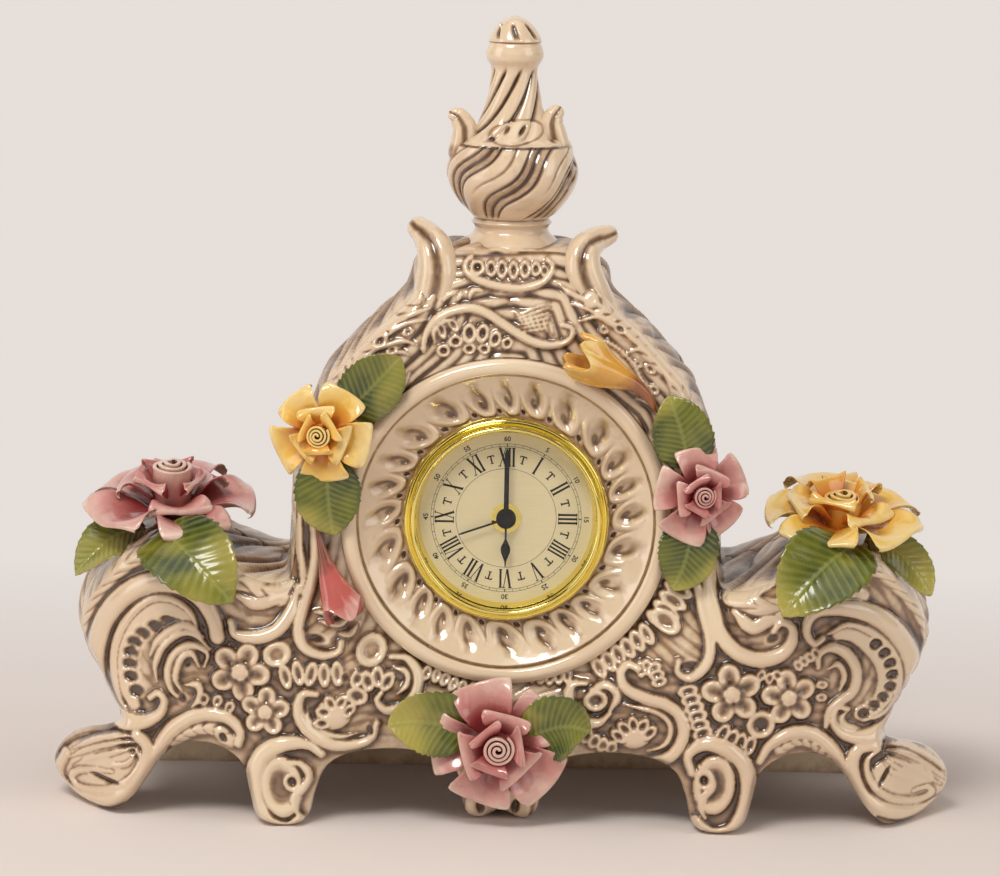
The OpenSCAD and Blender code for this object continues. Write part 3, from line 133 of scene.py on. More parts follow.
def sizes():
    return bpy.context.scene.clock_sizes


def colours():
    return bpy.context.scene.clock_colours


# Shader maths

class Wire:
    """An output socket or a number, in a node tree. Sums and products of wires add Math nodes."""

    def __init__(self, tree, value):
        self.tree = tree
        self.value = value

    def _math(self, operation, *others):
        """A Math node of that operation on this value and the others."""
        made = self.tree.nodes.new("ShaderNodeMath")
        made.operation = operation
        for slot_index, item in enumerate((self,) + others):
            put(self.tree, made.inputs[slot_index], item)
        return Wire(self.tree, made.outputs[0])

    def __add__(self, other):
        return self._math("ADD", other)

    __radd__ = __add__

    def __mul__(self, other):
        return self._math("MULTIPLY", other)

    def __sub__(self, other):
        return self._math("SUBTRACT", other)

    def __rsub__(self, other):
        return Wire(self.tree, other)._math("SUBTRACT", self)

    def clamp(self):
        return self._math("MAXIMUM", 0.0)._math("MINIMUM", 1.0)


def put(tree, socket, item):
    """Links a wire or socket to an input, or sets the input's own value."""
    value = item.value if isinstance(item, Wire) else item
    if isinstance(value, bpy.types.NodeSocket):
        tree.links.new(value, socket)
    elif isinstance(value, (tuple, list)) and len(value) == 3 and socket.type == "RGBA":
        socket.default_value = (*value, 1.0)
    else:
        socket.default_value = value


class Finish:
    """A material under construction, with one method for every kind of node."""

    def __init__(self, name):
        self.material = bpy.data.materials.new(name)
        self.material.use_nodes = True
        self.tree = self.material.node_tree
        self.tree.nodes.clear()

    def node(self, kind, settings=None, out=0, **inputs):
        """Adds a node: its settings first, then its sockets by name, with spaces as underscores."""
        made = self.tree.nodes.new("ShaderNode" + kind)
        for key, value in (settings or {}).items():
            setattr(made, key, value)
        for key, item in inputs.items():
            name = key.replace("_", " ")
            matches = [s for s in made.inputs if s.name == name and s.enabled]
            put(self.tree, matches[0] if matches else made.inputs[int(key[1:])], item)
        return Wire(self.tree, made.outputs[out])

    def attribute(self, name):
        """The value that the mesh holds under that name."""
        made = self.tree.nodes.new("ShaderNodeAttribute")
        made.attribute_name = name
        return Wire(self.tree, made.outputs["Fac"])

    def place(self):
        """Place on the object, in metres."""
        return self.node("VectorMath", {"operation": "SCALE"}, Vector=self.node("TexCoord", out=3),
                         Scale=1.0)

    def noise(self, scale, detail=3.0, place=None):
        return self.node("TexNoise", Vector=place or self.place(), Scale=scale, Detail=detail,
                         Roughness=0.5)

    def mix(self, amount, first, second):
        """From the first colour to the second by the amount."""
        made = self.tree.nodes.new("ShaderNodeMix")
        made.data_type = "RGBA"
        put(self.tree, made.inputs[0], amount)
        put(self.tree, made.inputs[6], first)
        put(self.tree, made.inputs[7], second)
        return Wire(self.tree, made.outputs[2])

    def ramp(self, value, low, high):
        """A straight rise from 0 at low to 1 at high."""
        return ((value - low) * (1.0 / (high - low))).clamp()

    def surface(self, base, roughness=0.4, bump=None, bump_distance=0.0002, bump_strength=0.3,
                **constants):
        """Ends the material in a principled shader; further inputs are given by their names."""
        shader = self.tree.nodes.new("ShaderNodeBsdfPrincipled")
        put(self.tree, shader.inputs["Base Color"], base)
        put(self.tree, shader.inputs["Roughness"], roughness)
        for key, value in constants.items():
            put(self.tree, shader.inputs[key.replace("_", " ")], value)
        if bump is not None:
            normal = self.node("Bump", Strength=bump_strength, Distance=bump_distance, Height=bump)
            put(self.tree, shader.inputs["Normal"], normal)
        end = self.tree.nodes.new("ShaderNodeOutputMaterial")
        self.tree.links.new(shader.outputs[0], end.inputs[0])
        return self.material


def rgb(name):
    return tuple(getattr(colours(), name))


made_finishes = {}


def finish(name):
    """The material of that name, made once by the function that is listed for it."""
    if name not in made_finishes:
        made_finishes[name] = FINISHES[name](Finish(name))
    return made_finishes[name]


def carved_sides(f):
    """The same glaze where it lies over coarse carving: it shines less."""
    return glazed_case(f, 0.35, 0.32)


def glazed_case(f, coat=1.0, dull=0.14):
    """Cream glaze with the umber wash where the attribute is high, thin and streaky. The attribute holds the
    brown wash in the recesses, and also painted shade along the back's edges, round its opening and beside
    the bezel.
    """
    wash = f.attribute("wash")
    cloud = f.noise(38.0, 4.0)
    fine = f.noise(300.0, 3.0)
    spread = f.ramp(wash + (cloud - 0.5) * 0.5 + (fine - 0.5) * 0.34, 0.14, 0.94)
    warm = f.mix(f.ramp(f.noise(14.0), 0.35, 0.65), rgb("cream"), (0.71, 0.53, 0.36))
    middle = f.mix(f.ramp(spread, 0.0, 0.45), warm, (0.36, 0.215, 0.115))
    base = f.mix(f.ramp(spread, 0.4, 0.95), middle, rgb("umber"))
    return f.surface(base, roughness=dull + fine * 0.08, bump=f.noise(300.0), bump_strength=0.2,
                     Coat_Weight=coat, Coat_Roughness=0.05, Specular_IOR_Level=0.35 + 0.25 * coat)


def petal_finish(middle, edge, throat):
    """Glaze that runs from the throat's colour over the middle's to a pale lip, in uneven
    patches, with the throat's colour again on the rolled rim."""
    def make(f):
        along = f.attribute("along")
        vein = f.noise(90.0, 3.0)
        blush = along + (vein - 0.5) * 0.22
        patch = f.noise(48.0, 3.0)
        base = f.mix(f.ramp(blush + (patch - 0.5) * 0.5, 0.16, 0.5), rgb(throat), rgb(middle))
        base = f.mix(f.ramp(blush + (patch - 0.5) * 0.9, 0.48, 0.92) * 0.9, base, rgb(edge))
        base = f.mix(f.ramp(f.noise(190.0, 2.0), 0.6, 0.8) * 0.3, base, rgb(throat))
        base = f.mix(f.ramp(along + (patch - 0.5) * 0.6, 0.9, 1.05) * 0.4, base, rgb(throat))
        return f.surface(base, roughness=0.2 + vein * 0.14, bump=f.noise(260.0), bump_strength=0.3,
                         Coat_Weight=1.0, Coat_Roughness=0.06)
    return make


def leaf_finish(f):
    """Green glaze that pales towards the tip, with gold clouds and paler veins."""
    along = f.attribute("along")
    vein = f.attribute("vein")
    cloud = f.noise(60.0, 3.0)
    gold = f.noise(34.0, 2.0)
    base = f.mix(f.ramp(cloud + along * 0.2, 0.4, 0.72), rgb("leaf_dark"), rgb("leaf"))
    base = f.mix(f.ramp(gold + along * 0.25, 0.62, 0.85) * 0.6, base, (0.55, 0.44, 0.09))
    base = f.mix(vein * 0.4, base, (0.36, 0.38, 0.09))
    return f.surface(base, roughness=0.2 + cloud * 0.2, bump=f.noise(240.0), bump_strength=0.5,
                     Coat_Weight=0.6, Coat_Roughness=0.12)


def bud_finish(first, second, third):
    """Three colours from the tail to the mouth, with a clouded passage between them."""
    def make(f):
        along = f.attribute("along")
        cloud = f.noise(120.0, 3.0)
        base = f.mix(f.ramp(along + (cloud - 0.5) * 0.5, 0.36, 0.56), first, second)
        base = f.mix(f.ramp(along + (cloud - 0.5) * 0.3, 0.82, 1.0), base, third)
        return f.surface(base, roughness=0.14 + cloud * 0.12, bump=cloud, bump_strength=0.2,
                         Coat_Weight=1.0, Coat_Roughness=0.06)
    return make


def brass_finish(f):
    """Polished brass: faint turning lines round the dial's axis and small tarnish clouds."""
    place = f.place()
    cloud = f.noise(70.0, 4.0)
    lines = f.node("TexWave", {"wave_type": "RINGS", "rings_direction": "Y"},
                   Vector=f.node("Mapping", Vector=place, Location=(0.0, 0.0, -DIAL_Z * MM)),
                   Scale=900.0, Distortion=0.4)
    base = f.mix(f.ramp(cloud, 0.35, 0.7), rgb("brass"), (0.90, 0.76, 0.24))
    return f.surface(base, roughness=0.06 + cloud * 0.08, bump=lines, bump_strength=0.03,
                     Metallic=1.0)


def clouded(light, dark, grain, dull, swing, bump=0.0, metal=0.0):
    """One noise turns the colour from light to dark, adds to the roughness and makes the bump."""
    def make(f):
        cloud = f.noise(*grain)
        return f.surface(f.mix(cloud, light, dark), roughness=dull + cloud * swing,
                         bump=cloud if bump else None, bump_strength=bump, Metallic=metal)
    return make


def copper_finish(f):
    """Enamelled wire: close turns that run round the coil's upright axis."""
    turns = f.node("TexWave", {"bands_direction": "Z"}, Vector=f.place(), Scale=800.0)
    base = f.mix(turns, (0.35, 0.11, 0.03), (0.6, 0.24, 0.08))
    return f.surface(base, roughness=0.3 + turns * 0.1, bump=turns, bump_strength=0.5,
                     Metallic=1.0)


def moulded(light, dark, gloss):
    """Moulded plastic or rubber: a fine grain in the surface and a slow drift in the colour."""
    def make(f):
        grain = f.noise(900.0, 2.0)
        cloud = f.noise(60.0, 2.0)
        base = f.mix(cloud, light, dark)
        return f.surface(base, roughness=gloss + grain * 0.12, bump=grain, bump_strength=0.2,
                         bump_distance=0.00005)
    return make


def board_finish(f):
    """Circuit board: paler traces along the edges of small cells."""
    traces = f.node("TexVoronoi", {"feature": "DISTANCE_TO_EDGE"}, Vector=f.place(), Scale=600.0)
    base = f.mix(f.ramp(traces, 0.08, 0.14), (0.10, 0.32, 0.12), (0.03, 0.14, 0.06))
    return f.surface(base, roughness=0.35 + traces * 0.2, bump=traces, bump_strength=0.1)


def battery_finish(f):
    """Printed steel sleeve: a copper-coloured band at the plus end, black over the rest."""
    along = f.node("SeparateXYZ", Vector=f.place())
    band = f.ramp(along, 0.0095, 0.0098)
    scuff = f.noise(220.0, 4.0)
    base = f.mix(band, (0.03, 0.03, 0.035), (0.62, 0.30, 0.10))
    return f.surface(base, roughness=0.22 + scuff * 0.2, bump=scuff, bump_strength=0.05,
                     Metallic=0.7)


def dial_finish(f):
    """Satin champagne dial: brushed lines that run across."""
    brushed = f.noise(60.0, 4.0, place=f.node("Mapping", Vector=f.place(), Scale=(1.0, 1.0, 40.0)))
    base = f.mix(f.ramp(brushed, 0.3, 0.7), rgb("dial"), (0.86, 0.74, 0.45))
    return f.surface(base, roughness=0.38 + brushed * 0.1, bump=brushed, bump_strength=0.03,
                     Metallic=0.04)


def lens_finish(f):
    """Clear glass: thin alpha glass that keeps the dial in plain sight, with a clean gloss."""
    cloud = f.noise(30.0, 2.0)
    return f.surface((0.02, 0.02, 0.02), roughness=0.02 + cloud * 0.01, Alpha=0.05 + cloud * 0.02,
                     Specular_IOR_Level=0.6)


def paper_finish(f):
    """Plain paper: a matt floor that takes the shadow. Behind the clock it passes over into its
    written colour for rays from the camera and for mirrored rays."""
    grain = f.noise(30.0, 2.0)
    base = f.mix(grain * 0.08, rgb("floor"), (0.7, 0.66, 0.63))
    f.surface(base, roughness=0.8 + grain * 0.1, Specular_IOR_Level=0.2)
    end = next(n for n in f.tree.nodes if n.type == "OUTPUT_MATERIAL")
    shaded = end.inputs[0].links[0].from_socket
    glow = f.tree.nodes.new("ShaderNodeEmission")
    glow.inputs["Color"].default_value = (*rgb("backdrop"), 1.0)
    depth = f.node("SeparateXYZ", out=1, Vector=f.place())
    rays = f.tree.nodes.new("ShaderNodeLightPath")
    direct = Wire(f.tree, rays.outputs["Is Camera Ray"]) + Wire(f.tree, rays.outputs["Is Glossy Ray"])
    direct = (direct + Wire(f.tree, rays.outputs["Is Transmission Ray"])).clamp()
    both = f.tree.nodes.new("ShaderNodeMixShader")
    put(f.tree, both.inputs[0], f.ramp(depth, 0.06, 0.5) * direct)
    f.tree.links.new(shaded, both.inputs[1])
    f.tree.links.new(glow.outputs[0], both.inputs[2])
    f.tree.links.new(both.outputs[0], end.inputs[0])
    return f.material


FINISHES = {
    "glazed_case": glazed_case,
    "carved_sides": carved_sides,
    "pink_petal": petal_finish("pink", "pink_edge", "pink_throat"),
    "yellow_petal": petal_finish("yellow", "yellow_edge", "yellow_throat"),
    "leaf": leaf_finish,
    "orange_bud": bud_finish((0.30, 0.09, 0.025), (0.72, 0.36, 0.05), (0.80, 0.56, 0.16)),
    "red_bud": bud_finish((0.22, 0.07, 0.04), (0.52, 0.12, 0.10), (0.66, 0.34, 0.28)),
    "brass": brass_finish,
    "steel": clouded((0.55, 0.55, 0.56), (0.42, 0.42, 0.44), (200.0, 3.0), 0.2, 0.15, 0.05, 1.0),
    "copper": copper_finish,
    "black_plastic": moulded((0.03, 0.03, 0.032), (0.018, 0.018, 0.02), 0.4),
    "white_plastic": moulded((0.72, 0.71, 0.67), (0.6, 0.59, 0.55), 0.3),
    "rubber": moulded((0.02, 0.02, 0.02), (0.035, 0.034, 0.033), 0.7),
    "board": board_finish,
    "battery": battery_finish,
    "dial": dial_finish,
    "ink": clouded((0.018, 0.016, 0.015), (0.035, 0.03, 0.028), (1500.0, 2.0), 0.35, 0.1),
    "hand": clouded((0.012, 0.012, 0.013), (0.03, 0.03, 0.032), (1200.0, 2.0), 0.28, 0.12, 0.04),
    "lens": lens_finish,
    "paper": paper_finish,
}


# Camera and the way from a pixel to a place

def camera_frame():
    """Place, right, up and forward of the camera, in metres. The optical axis meets the dial's
    plane a little above the dial's middle, because the photograph shows the dial low."""
    s = sizes()
    rise = s.camera_elevation
    forward = np.array([0.0, math.cos(rise), -math.sin(rise)])
    side = np.array([1.0, 0.0, 0.0])
    above = np.array([0.0, math.sin(rise), math.cos(rise)])
    right = math.cos(s.camera_roll) * side + math.sin(s.camera_roll) * above
    up = -math.sin(s.camera_roll) * side + math.cos(s.camera_roll) * above
    bezel = np.array([0.0, -0.0365, DIAL_Z * MM])
    aim = bezel - s.pixel_pitch * ((DIAL_PIXEL[0] - PHOTO_SIZE[0] / 2) * right
                                   - (DIAL_PIXEL[1] - PHOTO_SIZE[1] / 2) * up)
    return aim - s.camera_distance * forward, right, up, forward


def seen(pixels, depth):
    """Where the rays through pixels meet the upright planes at those depths in mm: X and Z."""
    place, right, up, forward = camera_frame()
    s = sizes()
    focal = s.camera_distance / s.pixel_pitch
    pixels = np.asarray(pixels, float)
    ray = (forward * focal + (pixels[:, :1] - PHOTO_SIZE[0] / 2) * right
           - (pixels[:, 1:2] - PHOTO_SIZE[1] / 2) * up)
    reach = (np.asarray(depth) * MM - place[1]) / ray[:, 1]
    hit = place + ray * reach[:, None]
    return np.stack([hit[:, 0], hit[:, 2]], 1) / MM


def on_front(pixels):
    """Places on the front of the case for pixels: the ray meets the front in a few steps."""
    depth = np.full(len(pixels), -42.0)
    for _ in range(5):
        flat = seen(pixels, depth)
        depth = front_depth(flat[:, 0], flat[:, 1])
    return flat


def drawn_path(marks):
    """X, Y, Z and radius in mm along a middle line of pixel x, pixel y, width in pixels and Y."""
    marks = np.array(marks, float)
    flat = seen(marks[:, :2], marks[:, 3])
    return np.stack([flat[:, 0], marks[:, 3], flat[:, 1], marks[:, 2] * PIXEL / 2], 1)


# Meshes from grids

def new_piece(name, points, faces, body, replaced, finish_name, attributes=None,
              smooth=True):
    """A mesh piece from points in mm, that rides on a body and stands for CAD nodes."""
    mesh = bpy.data.meshes.new(name)
    points = np.asarray(points, float).reshape(-1, 3) * MM
    faces = np.asarray(faces)
    mesh.vertices.add(len(points))
    mesh.vertices.foreach_set("co", points.ravel())
    sides = faces.shape[1]
    mesh.loops.add(faces.size)
    mesh.loops.foreach_set("vertex_index", faces.ravel().astype(np.int32))
    mesh.polygons.add(len(faces))
    mesh.polygons.foreach_set("loop_start", np.arange(0, faces.size, sides, dtype=np.int32))
    mesh.polygons.foreach_set("use_smooth", np.full(len(faces), smooth))
    mesh.update(calc_edges=True)
    for key, values in (attributes or {}).items():
        layer = mesh.attributes.new(key, "FLOAT", "POINT")
        layer.data.foreach_set("value", np.asarray(values, np.float32).ravel())
    piece = bpy.data.objects.new(name, mesh)
    bpy.context.scene.collection.objects.link(piece)
    mesh.materials.append(finish(finish_name))
    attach(piece, body)
    if replaced:
        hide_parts(*replaced)


def case_piece(name, points, faces, stood_for, wash, look="glazed_case"):
    """A glazed piece of the case with the share of brown wash at each point; on the back and beside the
    bezel that share also holds painted shade.
    """
    new_piece(name, points, faces, "case", stood_for, look, {"wash": wash})


def grid_faces(rows, cols, wrap_cols=False, flip=False):
    """Quads of a grid of rows by cols points, closed across the columns where asked."""
    across = np.arange(cols if wrap_cols else cols - 1)
    i, j = np.meshgrid(np.arange(rows - 1), across, indexing="ij")
    here, after = i * cols + j, i * cols + (j + 1) % cols
    quads = np.stack([here, here + cols, after + cols, after], -1).reshape(-1, 4)
    return quads[:, ::-1] if flip else quads


def join_parts(parts):
    """Points, faces and attributes of several parts as one."""
    places = [np.asarray(part[0]).reshape(-1, 3) for part in parts]
    starts = np.cumsum([0] + [len(group) for group in places])
    faces = np.concatenate([part[1] + start for part, start in zip(parts, starts)])
    values = {key: np.concatenate([np.ravel(part[2][key]) for part in parts]) for key in parts[0][2]}
    return np.concatenate(places), faces, values


def xyz(x, y, z):
    """Places from their coordinates, each a number or an array."""
    return np.stack(np.broadcast_arrays(x, y, z), -1)


def cos_sin(degrees):
    """Cosine and sine of an angle in degrees."""
    return math.cos(math.radians(degrees)), math.sin(math.radians(degrees))


def smoothstep(low, high, value):
    """0 at low and 1 at high, with level ends: t^2 * (3 - 2t)."""
    t = np.clip((value - low) / (high - low), 0.0, 1.0)
    return t * t * (3.0 - 2.0 * t)


def peak(value, middle, width):
    """A smooth hump: exp(-((value - middle) / width)^2)."""
    return np.exp(-((value - middle) / width) ** 2)


def crown(share):
    """A half-round section: sqrt(1 - share^2), and 0 beyond its edge."""
    return np.sqrt(np.clip(1 - share * share, 0, 1))


def run_length(path):
    """Length gone along a path at each of its points."""
    return np.concatenate([[0.0], np.cumsum(np.linalg.norm(path[1:] - path[:-1], axis=1))])


def even_path(path, step):
    """The same path with points at even steps of length."""
    gone = run_length(path)
    stations = np.arange(0.0, gone[-1], step)
    return np.stack([np.interp(stations, gone, path[:, k]) for k in (0, 1)], 1)


def sheet_shares(rows, cols):
    """u from 0 to 1 down the rows and v from -1 to 1 across the columns of a sheet."""
    return np.meshgrid(np.linspace(0, 1, rows), np.linspace(-1, 1, cols), indexing="ij")


def frames_along(path):
    """Unit vectors along a path in space, and two that stand square to it and to each other."""
    tangent = np.gradient(path, axis=0)
    tangent /= np.linalg.norm(tangent, axis=1)[:, None]
    first = np.cross(tangent, [0.0, 1.0, 0.0])
    first /= np.linalg.norm(first, axis=1)[:, None]
    return tangent, first, np.cross(tangent, first)


def blend_shares(places, values, where):
    """A smooth curve through given values: straight runs, then averaged over a short stretch."""
    wide = np.linspace(-0.06, 0.06, 7)
    return np.mean([np.interp(where + w, places, values) for w in wide], 0)


def smooth_path(points, steps=8):
    """A curve that passes through the points: a cubic between each two, with the slope at a
    point along the chord of its neighbours."""
    p = np.asarray(points, float)
    more = np.concatenate([2 * p[:1] - p[1:2], p, 2 * p[-1:] - p[-2:-1]])[:, None]
    a, b, c, d = more[:-3], more[1:-2], more[2:-1], more[3:]
    t = (np.arange(steps) / steps)[:, None]
    curve = 0.5 * (2 * b + (c - a) * t + (2 * a - 5 * b + 4 * c - d) * t ** 2
                   + (3 * b - a - 3 * c + d) * t ** 3)
    return np.concatenate([curve.reshape(-1, p.shape[1]), p[-1:]])


def distance_to_path(x, z, a):
    """Least distance to a path, the share of its length there, and the side, for arrays."""
    starts = run_length(a)
    lengths = np.diff(starts)
    total = max(starts[-1], 1e-9)
    best = np.full(x.shape, 1e9)
    along = np.zeros(x.shape)
    side = np.ones(x.shape)
    for k in range(len(a) - 1):
        step = a[k + 1] - a[k]
        size = max(lengths[k] ** 2, 1e-12)
        rx, rz = x - a[k, 0], z - a[k, 1]
        t = np.clip((rx * step[0] + rz * step[1]) / size, 0.0, 1.0)
        d = (rx - t * step[0]) ** 2 + (rz - t * step[1]) ** 2
        near = d < best
        best = np.where(near, d, best)
        along = np.where(near, (starts[k] + t * lengths[k]) / total, along)
        side = np.where(near, np.sign(step[0] * rz - step[1] * rx), side)
    return np.sqrt(best), along, side


def read_grid(table, xs, zs, x, z):
    """Bilinear reading of an even table."""
    u = np.clip((x - xs[0]) / (xs[1] - xs[0]), 0, len(xs) - 1.001)
    v = np.clip((z - zs[0]) / (zs[1] - zs[0]), 0, len(zs) - 1.001)
    i, j = u.astype(int), v.astype(int)
    u, v = u - i, v - j
    return (table[i, j] * (1 - u) * (1 - v) + table[i + 1, j] * u * (1 - v)
            + table[i, j + 1] * (1 - u) * v + table[i + 1, j + 1] * u * v)


# The case's outline and depths, in mm

# Right half of the front's outline, from the middle of the foot up to the neck
HALF_OUTLINE = [
    (0, 2.5), (3, 1.6), (8.4, 0), (13.5, 2.2), (15.9, 7.5), (16.5, 15), (20, 23), (28, 28.5), (45, 31),
    (62, 29.5), (72, 24), (76.5, 14), (79, 4), (84, 0), (95, 0), (101, 3.5), (104, 13), (107, 24),
    (115, 30.5), (125, 32.5), (134, 30.5), (141, 24.5), (147, 15.5), (153, 7), (160, 1.2), (168, 0),
    (178, 1.6), (185, 6.5), (188.8, 13), (187.6, 20), (182, 26.8), (174, 32), (165.5, 35.2),
    (158.5, 39.5), (162, 47), (169, 58), (174.5, 67), (177, 77), (175.5, 88), (171, 97), (163, 106),
    (154, 112),
    (145, 115), (134, 115), (124, 112), (112, 106), (100, 101), (91, 100), (88, 104), (87, 112),
    (86.5, 126), (86, 143), (83, 158), (78, 172), (73, 184), (66, 192), (55, 204), (46, 212),
    (41, 217.5), (38.5, 223), (37, 229), (32, 234.5), (29, 235), (20, 236.8), (0, 236.8)]
# Shares of the wings' half width, and how far front and back stand off from the middle there
FRONT_PLACES = [0, 0.25, 0.5, 0.7, 0.85, 0.94, 1.0]
FRONT_DEPTHS = [0.68, 0.74, 0.84, 0.76, 0.62, 0.46, 0.16]
BACK_PLACES = [0, 0.8, 0.9, 0.97, 1.0]
BACK_DEPTHS = [1, 1, 0.97, 0.9, 0.75]
# Heights up the tower, and how far its front and back stand off there
TOWER_HEIGHTS = [91, 107, 143, 172, 184, 192.4, 203.9, 217.5, 227, 231.8, 239]
TOWER_FRONTS = [1, 1, 1, 1, 1, 0.99, 0.95, 0.86, 0.78, 0.72, 0.7]
TOWER_BACKS = [1, 0.95, 0.85, 0.74, 0.7, 0.67, 0.62, 0.57, 0.53, 0.51, 0.5]


def case_outline(step=1.2):
    """The whole outline as a closed path of even steps, mirrored about the middle."""
    right = smooth_path(HALF_OUTLINE, 6)
    return even_path(np.concatenate([right, (right * [-1, 1])[::-1][1:]]), step)


class Outline:
    """Signed distance to the case's outline, positive inside, kept on a 1 mm grid."""

    def __init__(self, path):
        self.path = path
        self.xs = np.arange(-200.0, 200.5, 1.0)
        self.zs = np.arange(-14.0, 256.0, 1.0)
        x, z = np.meshgrid(self.xs, self.zs, indexing="ij")
        dist, _, side = distance_to_path(x, z, np.concatenate([path, path[:1]]))
        self.values = dist * side
        self.slopes = np.gradient(self.values)

    def inside(self, x, z):
        return read_grid(self.values, self.xs, self.zs, x, z)

    def inward(self, x, z):
        """Unit direction in from the outline."""
        gx, gz = (read_grid(slope, self.xs, self.zs, x, z) for slope in self.slopes)
        size = np.maximum(np.hypot(gx, gz), 1e-6)
        return gx / size, gz / size

    def outward(self, path):
        """Unit direction out from the outline at each point of a path."""
        return -np.stack(self.inward(path[:, 0], path[:, 1]), 1)


def front_depth(x, z):
    """Y of the plain front: the wings bow in plan, the tower is flat and leans in at the neck.
    Legs and outer feet swell forward near the floor."""
    away = np.abs(x)
    low = -60.0 * blend_shares(FRONT_PLACES, FRONT_DEPTHS, away / WING_HALF)
    tower = -38.0 * np.interp(z, TOWER_HEIGHTS, TOWER_FRONTS)
    up = smoothstep(66.0, 108.0, z) * smoothstep(104.0, 84.0, away)
    y = low * (1 - up) + tower * up
    leg = peak(away, LEG_X, 13.0) * smoothstep(64.0, 6.0, z)
    foot = peak(away, FOOT_X, 18.0) * smoothstep(46.0, 30.0, z)
    middle = peak(x, 0, 14.0) * smoothstep(34.0, 8.0, z)
    y = y - 3.0 * leg - 7.0 * foot + 9.0 * middle
    beside_ring = -38.4 - 0.45 * np.maximum(np.hypot(x, z - DIAL_Z) - 68.0, 0)
    return np.maximum(y, beside_ring)


def back_depth(x, z):
    """Y of the plain back: flat behind the wings, and the tower's back leans in with height."""
    low = 60.0 * blend_shares(BACK_PLACES, BACK_DEPTHS, np.abs(x) / WING_HALF)
    tower = 52.0 * np.interp(z, TOWER_HEIGHTS, TOWER_BACKS)
    up = smoothstep(92.0, 112.0, z)
    return low * (1 - up) + tower * up


def blur(field, reach):
    """Average over a window of that many cells on each side, twice, along both directions."""
    width = 2 * reach + 1
    for _ in range(2):
        for _ in range(2):
            total = np.cumsum(np.pad(field, ((reach + 1, reach), (0, 0)), mode="edge"), 0)
            field = ((total[width:] - total[:-width]) / width).T
    return field


# Carved relief: strokes drawn over enlargements of the photograph's quarters

# Corner of each enlargement in photo pixels, and how many times larger it is
LOW_LEFT = (0.0, 430.0, 3.136)
LOW_RIGHT = (500.0, 430.0, 3.136)
NECK = (420.0, 180.0, 8.71)
WHOLE = (0.0, 0.0, 1.0)
# Step of the relief's grid, in mm
PITCH = 0.4
FRONT_NODES = ("front_tower", "front_left", "front_right")


